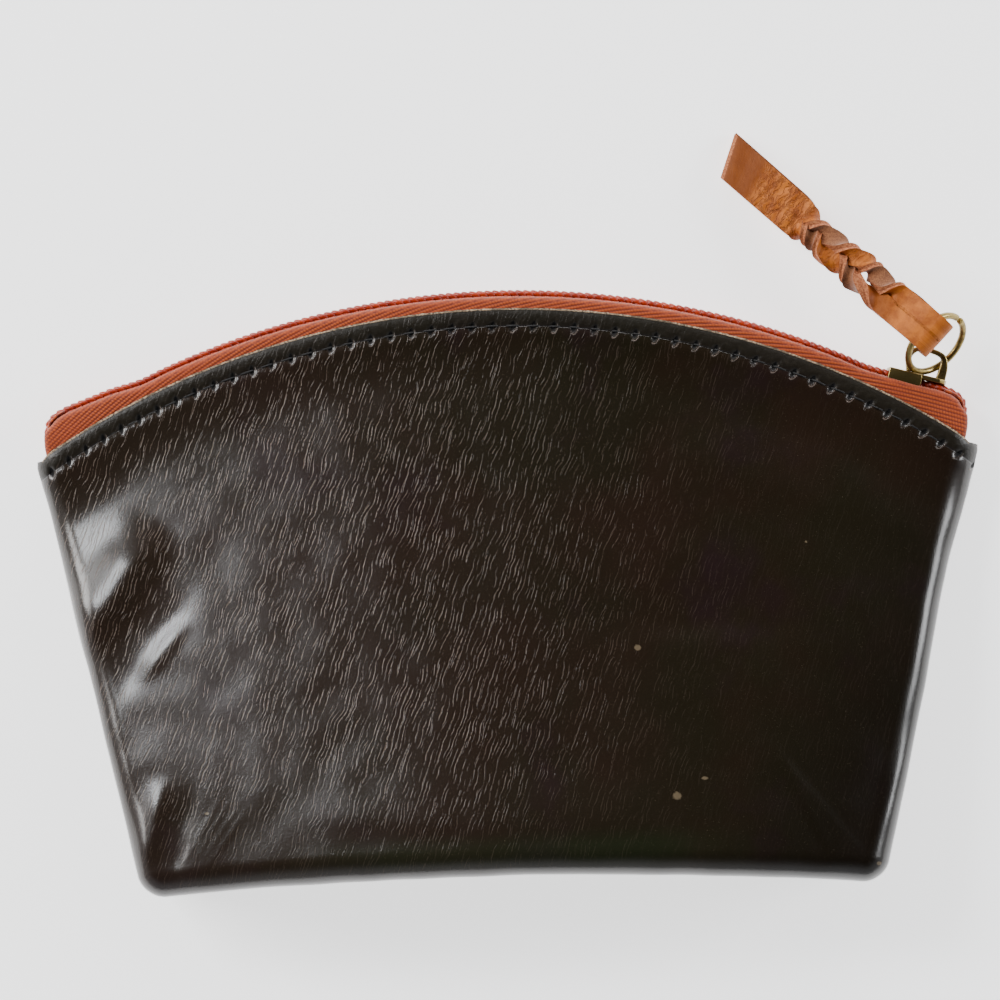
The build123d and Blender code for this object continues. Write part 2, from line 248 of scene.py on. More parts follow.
def crinkle_lines(finish, slant, spacing, seed):
    """Broken, slightly wavy lines side by side; slant's x runs along them."""
    along, across, _ = finish.split(slant)
    long = finish.join(along * 0.22, across * 0.45, seed)
    sway = finish.noise(long, 1.0, 2.0)
    lane_at = across / spacing + sway * 1.1 + seed
    lane = lane_at.math("FLOOR")
    chance = finish.node("ShaderNodeTexWhiteNoise", {"noise_dimensions": "1D"}, {"W": lane})
    side = (lane_at - lane - 0.5) * spacing + (chance - 0.5) * 0.18
    dash = finish.noise(finish.join(along * 0.25 + chance * 97.0, lane * 3.7, seed), 1.0, 1.5)
    fray = finish.noise(finish.join(along, across, seed), 2.6, 2.0)
    wide = 0.030 + dash.ramp(0.46, 0.72) * 0.055
    line = 1.0 - side.absolute().ramp(wide * 0.5, wide * 1.5)
    return line * dash.ramp(0.47, 0.57) * fray.ramp(0.36, 0.52)


# scuffed spots of the front leather: place, half width and half height
SCUFFS = (
    (28.2, -35.4, 0.9, 0.75),
    (22.1, -10.2, 0.75, 0.6),
    (33.1, -32.6, 0.7, 0.3),
    (62.8, -48.0, 0.5, 0.4),
    (-52.5, -37.0, 0.5, 0.3),
    (52.0, 7.5, 0.4, 0.3),
)


def dark_leather():
    """Glossy dark brown leather with slanting crinkles, thinning out to the right."""
    finish = Finish("dark_leather", Coat_Roughness=0.18, Coat_IOR=1.4, Specular_IOR_Level=0.4)
    place = finish.place
    x, y, z = finish.split(place)
    waver = finish.noise(place, 0.22, 2.0, out=1)
    wx, wy, _ = finish.split(waver)
    bent = finish.join(x + (wx - 0.5) * 1.6, y + (wy - 0.5) * 1.6)
    slant = finish.map(bent, turn=-71.0)
    streaks = crinkle_lines(finish, slant, 0.66, 0.0)
    streaks = streaks.at_least(crinkle_lines(finish, slant, 0.93, 40.0) * 0.55)
    patch = finish.noise(place, 0.035, 2.0)
    reach = (x + patch * 46.0 - y * 0.12).ramp(-12.0, 74.0)
    high_up = (y + x * 0.10).ramp(-52.0, -24.0)
    dense = (1.0 - reach * 0.93) * (high_up * 0.78 + 0.22)
    streaks = streaks * dense

    hole, pucker, line, high = stitch_holes(finish, x, y)
    hem = high.ramp(-0.5, 0.7)
    upper = y.ramp(15.0, 20.0)
    hem = hem * upper
    hole = hole * upper
    pucker = pucker * upper
    line = line * upper

    cool = finish.noise(place, 0.028, 3.0, 0.6)
    warm = finish.noise(finish.map(place, move=(31.0, 12.0, 5.0)), 0.05, 3.0, 0.6)
    base = finish.blend(cool.ramp(0.35, 0.65), rgb(32, 20, 11), rgb(26, 21, 9))
    base = finish.blend(warm.ramp(0.52, 0.72) * 0.8, base, rgb(31, 18, 19))
    # painted light: the leather is lightened towards the upper left, where the window light falls
    left = 1.0 - (x + y * 0.3).ramp(-50.0, 40.0)
    base = finish.blend(left * 0.5, base, rgb(42, 31, 25))
    # painted shade: the leather is darkened towards the lower right, away from the window light
    dark = (x - y * 0.55).ramp(50.0, 92.0)
    base = finish.blend(dark * 0.85, base, rgb(14, 9, 4))
    # painted reflection: a green sheen laid into the colour along the rounded edge above the base
    sheen = (1.0 - (y + 44.5 - x * 0.02).absolute().ramp(0.6, 4.5)) * (1.0 - x.absolute().ramp(20.0, 46.0))
    base = finish.blend(sheen * z.ramp(16.0, 24.0) * 0.22, base, rgb(12, 44, 20))
    # the crinkles are real creases; their pale colour is a painted highlight along their edges
    base = finish.blend(streaks * 0.42, base, rgb(128, 110, 98))
    base = finish.blend(hem * 0.8, base, rgb(24, 20, 11))
    mottle = finish.noise(place, 1.1, 3.0, 0.6)
    base = finish.blend(hem * mottle.ramp(0.5, 0.75) * 0.35, base, rgb(42, 35, 23))
    base = finish.blend(line * 0.75, base, rgb(14, 9, 6))
    # painted shade: the stitch holes are painted near-black
    base = finish.blend(hole, base, rgb(5, 3, 4))
    base = finish.blend(pucker * 0.5, base, rgb(132, 116, 106))
    for sx, sy, wide, tall in SCUFFS:
        off = (((x - sx) / wide) ** 2.0 + ((y - sy) / tall) ** 2.0) ** 0.5
        ragged = off + (mottle - 0.5) * 1.6
        spot = (1.0 - ragged.ramp(0.55, 0.95)) * z.ramp(8.0, 10.0)
        base = finish.blend(spot * 0.5, base, rgb(128, 112, 88))

    pores = finish.cells(place, 3.2, feature="F1")
    pebble = finish.noise(place, 2.4, 3.0, 0.6)
    fleck = finish.noise(place, 5.5, 1.0).ramp(0.70, 0.80)
    base = finish.blend(fleck * (1.0 - hem) * 0.28, base, rgb(120, 108, 88))
    rough = 0.20 + pebble * 0.06 + hem * (0.10 + mottle * 0.12) + streaks * 0.05 + hole * 0.6
    coat = (0.40 - hem * 0.38 - hole * 0.4 - streaks * 0.15).at_least(0.0)
    relief = finish.bump(pores * 0.45 + pebble * 0.55, 0.22, 0.12)
    relief = finish.bump(mottle * hem, 0.45, 0.22, over=relief)
    relief = finish.bump(1.0 - streaks, 0.40, 0.08, over=relief)
    relief = finish.bump(pucker - hole * 0.6 - line * 0.35, 0.8, 0.25, over=relief)
    finish.set(Base_Color=base, Roughness=rough, Coat_Weight=coat, Normal=relief)
    return finish.material


def leather_edge():
    """The leather's raw cut edge, pale and fibrous."""
    finish = Finish("leather_edge", Roughness=0.85)
    fibre = finish.noise(finish.place, 2.6, 4.0, 0.7)
    wide = finish.noise(finish.place, 0.35, 2.0)
    tone = finish.blend(fibre.ramp(0.35, 0.62), rgb(52, 42, 30), rgb(176, 150, 122))
    tone = finish.blend(wide.ramp(0.45, 0.62) * 0.75, tone, rgb(66, 56, 40))
    finish.set(Base_Color=tone, Normal=finish.bump(fibre, 0.7, 0.12))
    return finish.material


def suede_back():
    """The leather's flesh side."""
    finish = Finish("leather_flesh_side", Roughness=0.92)
    fibre = finish.noise(finish.place, 1.8, 4.0, 0.7)
    tone = finish.blend(fibre.ramp(0.3, 0.7), rgb(52, 40, 30), rgb(84, 66, 50))
    finish.set(Base_Color=tone, Normal=finish.bump(fibre, 0.5, 0.12))
    return finish.material


def lining_cloth():
    """Plain-woven dark cotton lining."""
    finish = Finish("lining_cotton", Roughness=0.88, Sheen_Weight=0.15, Sheen_Roughness=0.5)
    x, y, z = finish.split(finish.place)
    pitch = 0.42
    warp = (x * (2 * math.pi / pitch)).math("SINE")
    weft = ((y + z) * (2 * math.pi / pitch)).math("SINE")
    weave = warp * weft * 0.5 + 0.5
    slub = finish.noise(finish.map(finish.place, scale=(0.25, 1.6, 0.25)), 1.2, 2.0)
    tone = finish.blend(weave * 0.6 + slub * 0.4, rgb(34, 26, 22), rgb(70, 54, 44))
    finish.set(Base_Color=tone, Normal=finish.bump(weave, 0.6, 0.10))
    return finish.material


def tape_cloth():
    """Orange woven zip tape; the beads are in the mesh, their depth in an attribute."""
    finish = Finish("zip_tape_orange", Roughness=0.72, Sheen_Weight=0.25, Sheen_Roughness=0.45)
    relief = finish.node("ShaderNodeAttribute", {"attribute_name": "bead"}, out="Fac")
    thread = finish.noise(finish.map(finish.place, turn=22.0, scale=(1.0, 5.0, 1.0)), 2.4, 3.0)
    patch = finish.noise(finish.place, 0.12, 2.0)
    # painted shade and highlight: the tape is darker in the gaps between the beads and lighter on their tops
    tone = finish.blend(relief.ramp(0.15, 0.75), rgb(104, 26, 2), rgb(176, 72, 8))
    tone = finish.blend(relief.ramp(0.75, 1.0) * thread.ramp(0.3, 0.6) * 0.75, tone, rgb(214, 108, 26))
    tone = finish.blend(patch.ramp(0.45, 0.7) * 0.30, tone, rgb(156, 56, 6))
    finish.set(Base_Color=tone, Normal=finish.bump(thread, 0.35, 0.06))
    return finish.material


def coil_nylon():
    """Red-orange nylon monofilament."""
    finish = Finish("zip_coil_red_orange", Roughness=0.38, Coat_Weight=0.15, Coat_Roughness=0.25)
    shade = finish.noise(finish.place, 0.5, 2.0)
    ribbed = finish.noise(finish.place, 4.0, 2.0)
    tone = finish.blend(shade.ramp(0.35, 0.65), rgb(146, 34, 2), rgb(170, 50, 5))
    finish.set(Base_Color=tone, Roughness=0.34 + ribbed * 0.18, Normal=finish.bump(ribbed, 0.25, 0.05))
    return finish.material


def spun_thread(name, dark, light, glint):
    """Twisted sewing thread."""
    finish = Finish(name, Roughness=0.62, Sheen_Weight=glint, Sheen_Roughness=0.4)
    x, y, z = finish.split(finish.place)
    ply = ((x + y * 0.9 + z * 1.7) * (2 * math.pi / 0.34)).math("SINE") * 0.5 + 0.5
    fuzz = finish.noise(finish.place, 6.0, 2.0)
    tone = finish.blend(ply * 0.6 + fuzz * 0.4, dark, light)
    finish.set(Base_Color=tone, Normal=finish.bump(ply, 0.6, 0.06))
    return finish.material


def antique_brass():
    """Brass darkened in its hollows and rubbed bright where it is handled."""
    finish = Finish("antique_brass", Metallic=1.0)
    cloud = finish.noise(finish.place, 0.55, 4.0, 0.65)
    grit = finish.noise(finish.place, 3.6, 3.0, 0.7)
    scratch = finish.noise(finish.map(finish.place, turn=38.0, scale=(0.5, 7.0, 1.0)), 1.6, 2.0)
    worn = finish.node("ShaderNodeNewGeometry", out="Pointiness").ramp(0.500, 0.560)
    rubbed = (cloud * 0.75 + worn * 0.5 + scratch * 0.18).ramp(0.42, 0.82)
    tone = finish.blend(rubbed, rgb(44, 36, 18), rgb(150, 130, 80))
    tone = finish.blend(grit.ramp(0.55, 0.72) * 0.55, tone, rgb(64, 56, 36))
    rough = 0.44 - rubbed * 0.18 + grit * 0.10
    relief = finish.bump(grit * 0.6 + scratch * 0.4, 0.25, 0.06)
    finish.set(Base_Color=tone, Roughness=rough, Normal=relief)
    return finish.material


def tan_grain():
    """Grain side of the tan strap, creased across and darker towards the free end."""
    finish = Finish("tan_leather_grain", Specular_IOR_Level=0.22, Coat_Roughness=0.35)
    strap = finish.node("ShaderNodeUVMap", {"uv_map": "strap"})
    s, t, _ = finish.split(finish.map(strap, scale=(50.0, 10.0, 1.0)))
    flat = finish.join(s, t)
    cloud = finish.noise(flat, 0.35, 3.0, 0.6)
    pebble = finish.noise(flat, 3.2, 4.0, 0.65)
    wavy = finish.noise(flat, 0.6, 2.0, out=1)
    wx, wy, _ = finish.split(wavy)
    bent = finish.join(s + (wx - 0.5) * 2.2, t + (wy - 0.5) * 2.0)
    folds = finish.noise(finish.map(bent, scale=(1.5, 0.34, 1.0)), 0.9, 3.0, 0.55)
    crease = 1.0 - (folds - 0.5).absolute().ramp(0.0, 0.07)
    where = s.ramp(27.0, 29.5) * (1.0 - s.ramp(37.0, 40.5))
    in_braid = s.ramp(13.0, 16.0) * (1.0 - s.ramp(26.0, 28.0))
    hairs = finish.noise(finish.map(bent, turn=35.0, scale=(0.6, 4.0, 1.0)), 1.3, 3.0)
    crease = crease * (where + in_braid * 0.5 + 0.08).at_most(1.0)
    tone = finish.blend(cloud.ramp(0.3, 0.7), rgb(146, 72, 14), rgb(192, 108, 36))
    tone = finish.blend(s.ramp(37.5, 41.0) * 0.85, tone, rgb(116, 56, 8))
    near = 1.0 - s.ramp(-3.8, -1.0)
    tone = finish.blend(near * 0.5, tone, rgb(120, 60, 20))
    # painted shade: a darker patch on one half of the strap just before the braid
    shade = (s - t * 0.8).ramp(6.5, 9.5) * (1.0 - s.ramp(11.5, 14.0)) * (1.0 - t.ramp(-1.2, 0.4))
    tone = finish.blend(shade * 0.55, tone, rgb(110, 50, 18))
    # painted shade: the creases are darkened
    tone = finish.blend(crease * 0.45, tone, rgb(84, 34, 8))
    tone = finish.blend(hairs.ramp(0.55, 0.75) * where * 0.5, tone, rgb(196, 116, 56))
    tone = finish.blend(pebble.ramp(0.55, 0.75) * 0.25, tone, rgb(186, 108, 50))
    relief = finish.bump(pebble, 0.30, 0.10)
    relief = finish.bump(1.0 - crease, 0.8, 0.22, over=relief)
    relief = finish.bump(hairs, 0.35, 0.15, over=relief)
    finish.set(Base_Color=tone, Roughness=0.46 + pebble * 0.18, Coat_Weight=0.03, Normal=relief)
    return finish.material


def tan_flesh():
    """Flesh side of the tan strap, napped and stippled."""
    finish = Finish("tan_leather_flesh", Roughness=0.92, Sheen_Weight=0.2, Sheen_Roughness=0.5)
    stipple = finish.noise(finish.place, 4.2, 3.0, 0.7)
    fibre = finish.noise(finish.map(finish.place, turn=-46.0, scale=(0.6, 2.2, 1.0)), 2.0, 3.0)
    tone = finish.blend(stipple.ramp(0.35, 0.65), rgb(110, 62, 32), rgb(150, 94, 56))
    tone = finish.blend(fibre.ramp(0.55, 0.75) * 0.4, tone, rgb(92, 50, 26))
    finish.set(Base_Color=tone, Normal=finish.bump(stipple * 0.6 + fibre * 0.4, 0.6, 0.12))
    return finish.material


def tan_cut():
    """The strap's cut edges."""
    finish = Finish("tan_leather_cut_edge", Roughness=0.85)
    fibre = finish.noise(finish.place, 3.0, 3.0, 0.6)
    tone = finish.blend(fibre.ramp(0.35, 0.65), rgb(138, 70, 36), rgb(190, 118, 74))
    finish.set(Base_Color=tone, Normal=finish.bump(fibre, 0.5, 0.08))
    return finish.material


def studio_paper():
    """White paper, itself a little bright."""
    finish = Finish("studio_paper", Roughness=0.9, Base_Color=(0.93, 0.93, 0.93))
    finish.set(Emission_Color=(0.95, 0.95, 0.95, 1.0), Emission_Strength=1.7)
    return finish.material


# ---- meshes ------------------------------------------------------------------------

def piece(name, points, faces, materials, kinds=None):
    """A smooth mesh object from points in millimetres; kinds are its faces' materials."""
    mesh = bpy.data.meshes.new(name)
    mesh.from_pydata((np.asarray(points, float) * MM).tolist(), [], faces)
    for material in materials:
        mesh.materials.append(material)
    if kinds is not None:
        mesh.polygons.foreach_set("material_index", np.asarray(kinds, np.int32))
    mesh.polygons.foreach_set("use_smooth", np.ones(len(mesh.polygons), bool))
    mesh.update()
    made = bpy.data.objects.new(name, mesh)
    bpy.context.scene.collection.objects.link(made)
    return made


def grid_faces(rows, cols, start=0, around=False):
    """Quads over rows of points, numbered row by row."""
    faces = []
    last = cols if around else cols - 1
    for i in range(rows - 1):
        low = start + i * cols
        for j in range(last):
            k = (j + 1) % cols
            faces.append((low + j, low + k, low + cols + k, low + cols + j))
    return faces


def finished(made):
    """The object with its modifiers made part of its mesh."""
    graph = bpy.context.evaluated_depsgraph_get()
    mesh = bpy.data.meshes.new_from_object(made.evaluated_get(graph))
    made.modifiers.clear()
    made.data = mesh
    return made


def weld(made, distance_mm=0.001):
    """Merges the points that neighbouring parts of a mesh share."""
    work = bmesh.new()
    work.from_mesh(made.data)
    bmesh.ops.remove_doubles(work, verts=work.verts, dist=distance_mm * MM)
    work.to_mesh(made.data)
    work.free()


def outward(made):
    """Turns the faces of a closed mesh outwards."""
    work = bmesh.new()
    work.from_mesh(made.data)
    bmesh.ops.recalc_face_normals(work, faces=work.faces)
    work.to_mesh(made.data)
    work.free()


def turned(x, y, angle):
    """The point or points (x, y) turned about the origin."""
    c, s = math.cos(angle), math.sin(angle)
    return x * c - y * s, x * s + y * c


def smoothstep(low, high, value):
    t = np.clip((value - low) / (high - low), 0, 1)
    return t * t * (3 - 2 * t)


def soft_noise(points, scale, seed=0.0):
    """Smooth noise, about -1 to 1, at points in millimetres."""
    spots = np.asarray(points) * scale + (seed, 0.0, 0.0)
    return np.array([noise.noise(Vector(spot)) for spot in spots.tolist()])


# ---- pouch shell --------------------------------------------------------------------

def front_height(x, y):
    """Height of the front surface: level near the mouth, rising to the base."""
    under = FLAT_R - np.hypot(x, y - ARCH_Y)
    bend = 7.0
    rise = np.where(under < bend, SLOPE * under ** 2 / (2 * bend), SLOPE * (under - bend / 2))
    return T_TOP + np.where(under > 0, rise, 0.0)


def seam_height(y):
    """Height of the seam between the front and back leather."""
    return Z_MID + (SEAM_Z_BASE - Z_MID) / (SEAM_Y_BASE - Y_TOP) * (y - Y_TOP)


def bow(x):
    """How far the base's middle is set in from its corners."""
    return FLOOR_RISE * (1 - np.minimum(np.abs(x) / HALF_FLOOR, 1.0) ** 2)


def plan_core(x, y, inset):
    """Nearest points of the pouch's plan drawn in by inset."""
    side = np.array((1.0, -LEAN)) / math.hypot(1.0, LEAN)
    edge = np.array((HALF_BASE - HALF_FLOOR, Y_BASE_SIDE - Y_FLOOR_CORNER))
    corner = np.array((edge[1], -edge[0])) / math.hypot(*edge)
    side_at = side @ (HALF_TOP, Y_TOP) - inset
    corner_at = corner @ (HALF_BASE, Y_BASE_SIDE) - inset
    base_y = Y_FLOOR_CORNER + inset
    high = np.linalg.solve(np.array((side, corner)), np.array((side_at, corner_at)))
    low_x = (corner_at - corner[1] * base_y) / corner[0]
    low = np.array((low_x, base_y))
    far = high + np.array((LEAN, 1.0)) * 120
    flip = np.where(x < 0, -1.0, 1.0)
    p = np.stack((np.abs(x), y - bow(x)), axis=1)
    inside = (p @ side <= side_at) & (p @ corner <= corner_at) & (p[:, 1] >= base_y)
    best = p.copy()
    gap = np.full(len(p), 1e9)
    for a, b in ((far, high), (high, low), (low, np.array((-5.0, base_y)))):
        run = b - a
        t = np.clip(((p - a) @ run) / (run @ run), 0, 1)
        q = a + t[:, None] * run
        d = np.hypot(*(p - q).T)
        nearer = d < gap
        best[nearer] = q[nearer]
        gap[nearer] = d[nearer]
    best[inside] = p[inside]
    return best[:, 0] * flip, best[:, 1] + bow(best[:, 0])


def rounded_shell(points, inset, rounding):
    """Moves points of the sharp-edged pouch onto its rounded edges."""
    x, y, z = points.T
    qx, qy = plan_core(x, y, inset + rounding)
    ceiling = front_height(qx, qy) - inset - rounding
    qz = np.clip(z, inset + rounding, np.maximum(ceiling, inset + rounding))
    core = np.stack((qx, qy, qz), axis=1)
    away = points - core
    length = np.linalg.norm(away, axis=1)
    length[length < 1e-9] = 1.0
    return core + away * (rounding / length)[:, None]


def plan_rows(inset, columns, step, arch_from, arch_to, fine_step):
    """Rows of plan points from the base up to the arch: coarse rows, then fine ones."""
    slant = math.hypot(1.0, LEAN)

    def side_x(y):
        return HALF_TOP + LEAN * (y - Y_TOP) - inset * slant

    corner_y = Y_FLOOR_CORNER + inset
    corner_x = side_x(corner_y)
    u = np.linspace(-1, 1, columns + 1)
    base_x = u * corner_x
    base = np.stack((base_x, corner_y + bow(base_x)), axis=1)

    def arc(radius, u):
        low, high = 0.0, 1.2
        for _ in range(40):
            mid = (low + high) / 2
            y = ARCH_Y + radius * math.cos(mid)
            if radius * math.sin(mid) < side_x(y):
                low = mid
            else:
                high = mid
        turn = u * low
        return np.stack((radius * np.sin(turn), ARCH_Y + radius * np.cos(turn)), axis=1)

    top = arc(arch_from, u)
    count = int(round((arch_from + ARCH_Y - Y_FLOOR_CORNER) / step))
    coarse = [base + (top - base) * t for t in np.linspace(0, 1, count + 1)]
    fine_count = int(round((arch_to - arch_from) / fine_step))
    fine_u = np.linspace(-1, 1, 2 * columns + 1)
    fine = [arc(r, fine_u) for r in np.linspace(arch_from, arch_to, fine_count + 1)[1:]]
    return coarse, fine


def shell_mesh(name, front, inset, rounding, columns, step, arch_to, fine_step, materials):
    """Front or back half of the pouch as one surface: face, both sides and base."""
    arch_from = arch_to - 5.4
    coarse, fine = plan_rows(inset, columns, step, arch_from, arch_to, fine_step)
    points = []
    faces = []
    kinds = []

    def level(plan):
        """Plan points on the front or back face."""
        z = front_height(plan[:, 0], plan[:, 1]) - inset if front else np.full(len(plan), inset)
        return np.column_stack((plan, z))

    def wall(plan, rows):
        """Rows from the face down or up to the seam, under an edge of the plan."""
        top = level(plan)
        seam = seam_height(plan[:, 1])
        out = []
        for n in range(rows + 1):
            t = (n / rows) ** 1.1
            out.append(np.column_stack((plan, top[:, 2] + (seam - top[:, 2]) * t)))
        return out

    def add(rows, flip):
        start = sum(len(p) for p in points)
        for row in rows:
            points.append(row)
        made = grid_faces(len(rows), len(rows[0]), start)
        faces.extend([f[::-1] for f in made] if flip else made)
        kinds.extend([0] * len(made))

    add([level(p) for p in coarse], not front)
    start = sum(len(p) for p in points)
    last_coarse = start - len(coarse[-1])
    for row in fine:
        points.append(level(row))
    wide = 2 * columns + 1
    for j in range(columns):
        f = (last_coarse + j, last_coarse + j + 1, start + 2 * j + 2, start + 2 * j + 1, start + 2 * j)
        faces.append(f if front else f[::-1])
        kinds.append(0)
    made = grid_faces(len(fine), wide, start)
    faces.extend(made if front else [f[::-1] for f in made])
    edge_row = (len(fine) - 2) * (wide - 1)
    kinds.extend([0] * edge_row + [1] * (wide - 1))
    rows = 18
    add(wall(coarse[0], rows), front)
    for end in (0, -1):
        edge = np.array([p[end] for p in coarse] + [p[end] for p in fine])
        add(wall(edge, rows), (end == 0) != front)
    points = rounded_shell(np.concatenate(points), inset, rounding)
    made = piece(name, points, faces, materials, kinds)
    weld(made)
    return made


def points_of(made):
    """A mesh's points in millimetres."""
    flat = np.empty(len(made.data.vertices) * 3)
    made.data.vertices.foreach_get("co", flat)
    return flat.reshape(-1, 3) / MM


def normals_of(made):
    flat = np.empty(len(made.data.vertices) * 3)
    made.data.vertices.foreach_get("normal", flat)
    return flat.reshape(-1, 3)


def move_points(made, points):
    made.data.vertices.foreach_set("co", (points * MM).ravel())
    made.data.update()


def ridge(x, y, start, end, width, height, skew=0.0):
    """A soft fold between two points: high on its line, steeper on one side."""
    start = np.array(start, float)
    run = np.array(end, float) - start
    length = math.hypot(*run)
    run = run / length
    along = (x - start[0]) * run[0] + (y - start[1]) * run[1]
    across = (y - start[1]) * run[0] - (x - start[0]) * run[1]
    across = across + skew * np.sin(along / length * math.pi) * width
    side = np.where(across > 0, width, width * 0.55)
    rise = smoothstep(-0.25 * length, 0.3 * length, along)
    fall = 1 - smoothstep(0.7 * length, 1.25 * length, along)
    return height * np.exp(-(across / side) ** 2) * rise * fall


def stitch_count():
    """How many stitches the topstitch has."""
    step = math.degrees(STITCH_PITCH / STITCH_R)
    return int(2 * math.degrees(math.asin(STITCH_REACH / STITCH_R)) / step)


def stitch_dents(x, y, depth):
    """How far the leather sinks at the topstitch's holes and along its line."""
    up = y - ARCH_Y
    radius = np.hypot(x, up)
    count = stitch_count()
    phase = 0.0 if count % 2 else 0.5
    along = np.arctan2(x, up) * STITCH_R / STITCH_PITCH + phase
    across = (along - np.floor(along) - 0.5) * STITCH_PITCH
    high = radius - STITCH_R
    lean = across - high * 0.30
    hole = np.exp(-((lean / 0.42) ** 2 + (high / 0.85) ** 2))
    line = np.exp(-(high / 0.5) ** 2)
    pucker = np.exp(-(((lean - 0.85) / 0.5) ** 2 + ((high + 0.3) / 1.0) ** 2))
    beside = np.exp(-((np.abs(high) - 1.35) / 0.9) ** 2)
    return (-depth * hole - 0.16 * line + 0.06 * pucker + 0.08 * beside) * (y > 17)


def soft_front(made):
    """Works the folds, dents and stitch holes into the front leather."""
    points = points_of(made)
    normals = normals_of(made)
    x, y, z = points.T
    facing = np.clip(normals[:, 2], 0, 1)
    shift = 0.28 * soft_noise(points, 0.045, 3.0) + 0.10 * soft_noise(points, 0.16, 9.0)
    folds = ridge(x, y, (-74.0, -7.0), (-62.5, 9.5), 6.4, 1.6)
    folds += ridge(x, y, (-70.0, -18.0), (-56.0, 1.0), 4.8, -0.30)
    folds += ridge(x, y, (-63.5, -13.5), (-56.5, -5.0), 2.2, 0.22)
    folds += ridge(x, y, (-73.5, -20.0), (-70.5, -36.0), 2.4, 0.35)
    folds += ridge(x, y, (-63.5, -46.0), (-60.5, -33.0), 2.8, 0.6)
    folds += ridge(x, y, (-58.5, -47.5), (-55.5, -34.0), 2.6, -0.35)
    for n in range(4):
        folds += ridge(x, y, (-57.6 + 1.3 * n, -47.5), (-50.6 + 1.4 * n, -35.5 - 0.7 * n), 0.45, 0.10)
    for n in range(5):
        drop = 1.25 * n
        folds += ridge(x, y, (59.5 - 0.9 * n, -45.4 - 0.5 * drop), (46.5 + 0.4 * n, -29.0 - drop), 0.55, 0.10)
    folds += ridge(x, y, (61.0, -42.0), (70.0, -20.0), 3.6, -0.35)
    folds += ridge(x, y, (20.0, -5.0), (52.0, -6.0), 6.0, -0.35)
    folds += ridge(x, y, (28.0, 24.0), (66.0, 12.0), 7.0, 0.35)
    folds += ridge(x, y, (-30.0, -38.0), (26.0, -39.0), 6.0, 0.40)
    shift = shift + folds * np.maximum(facing, 0.25)
    shift = shift + stitch_dents(x, y, 0.5) * facing
    radius = np.hypot(x, y - ARCH_Y)
    settle = smoothstep(ARCH_R - 1.0, ARCH_R - 0.1, radius)
    ragged = 0.05 * soft_noise(points, 1.7, 4.0)
    shift = shift - settle * 0.22
    groove = np.exp(-((z - seam_height(y)) / 0.7) ** 2) * (1 - facing)
    shift = shift - groove * (0.16 + 0.08 * soft_noise(points, 0.4, 6.0))
    shift = shift + 1.1 * smoothstep(74.0, 80.0, x) * smoothstep(-2.0, 20.0, y) * (1 - facing)
    shift = np.where(np.abs(radius - ARCH_R) < 0.02, np.minimum(shift, 0.3), shift)
    points = points + normals * shift[:, None]
    edge = smoothstep(ARCH_R - 0.35, ARCH_R, radius)
    out = np.column_stack((x, y - ARCH_Y, np.zeros(len(x)))) / radius[:, None]
    points = points + out * (edge * ragged * 2.0)[:, None]
    move_points(made, points)


def soft_back(made):
    """Keeps the back flat on the table, its edges and seams soft."""
    points = points_of(made)
    normals = normals_of(made)
    x, y, z = points.T
    upright = 1 - np.clip(-normals[:, 2], 0, 1)
    shift = (0.25 * soft_noise(points, 0.05, 12.0) + 0.08 * soft_noise(points, 0.2, 2.0)) * upright
    groove = np.exp(-((z - seam_height(y)) / 0.7) ** 2) * upright
    shift = shift - groove * 0.18
    shift = shift + 0.9 * smoothstep(74.0, 80.0, x) * smoothstep(-2.0, 20.0, y) * upright
    shift = shift + np.minimum(stitch_dents(x, y, 0.75), 0.0) * (1 - upright)
    points = points + normals * shift[:, None]
    points[:, 2] = np.maximum(points[:, 2], 0.0)
    move_points(made, points)


def thicken(made, thickness, rim=0):
    """Gives a surface its thickness, inwards."""
    wall = made.modifiers.new("thickness", "SOLIDIFY")
    wall.thickness = thickness * MM
    wall.offset = -1.0
    wall.material_offset_rim = rim
    return finished(made)


def leather_half(name, front, materials):
    columns = 232 if front else 150
    step = 0.72 if front else 1.15
    made = shell_mesh(name, front, 0.0, EDGE_ROUND, columns, step, ARCH_R, 0.3, materials)
    if front:
        soft_front(made)
    else:
        soft_back(made)
    return thicken(made, LEATHER, rim=1)


def lining_half(name, front, materials):
    inset = LEATHER + 0.62
    made = shell_mesh(name, front, inset, EDGE_ROUND - inset, 90, 1.8, 143.8, 0.9, materials)
    points = points_of(made)
    normals = normals_of(made)
    sag = 0.10 * soft_noise(points, 0.12, 21.0) - 0.12
    move_points(made, points + normals * sag[:, None])
    return thicken(made, 0.35)


# ---- zip ---------------------------------------------------------------------------------

def smooth_line(points, step):
    """Even points along a smooth curve through the given ones."""
    points = np.asarray(points, float)
    padded = np.vstack((2 * points[0] - points[1], points, 2 * points[-1] - points[-2]))
    dense = []
    for i in range(1, len(padded) - 2):
        p0, p1, p2, p3 = padded[i - 1:i + 3]
        for t in np.linspace(0, 1, 24, endpoint=False):
            dense.append(0.5 * (
                2 * p1 + (p2 - p0) * t + (2 * p0 - 5 * p1 + 4 * p2 - p3) * t ** 2
                + (3 * p1 - p0 - 3 * p2 + p3) * t ** 3
            ))
    dense.append(padded[-2])
    dense = np.array(dense)
    length = np.concatenate(([0], np.cumsum(np.linalg.norm(np.diff(dense, axis=0), axis=1))))
    count = int(length[-1] / step)
    at = np.linspace(0, length[-1], count + 1)
    return np.stack([np.interp(at, length, dense[:, n]) for n in range(dense.shape[1])], axis=1)


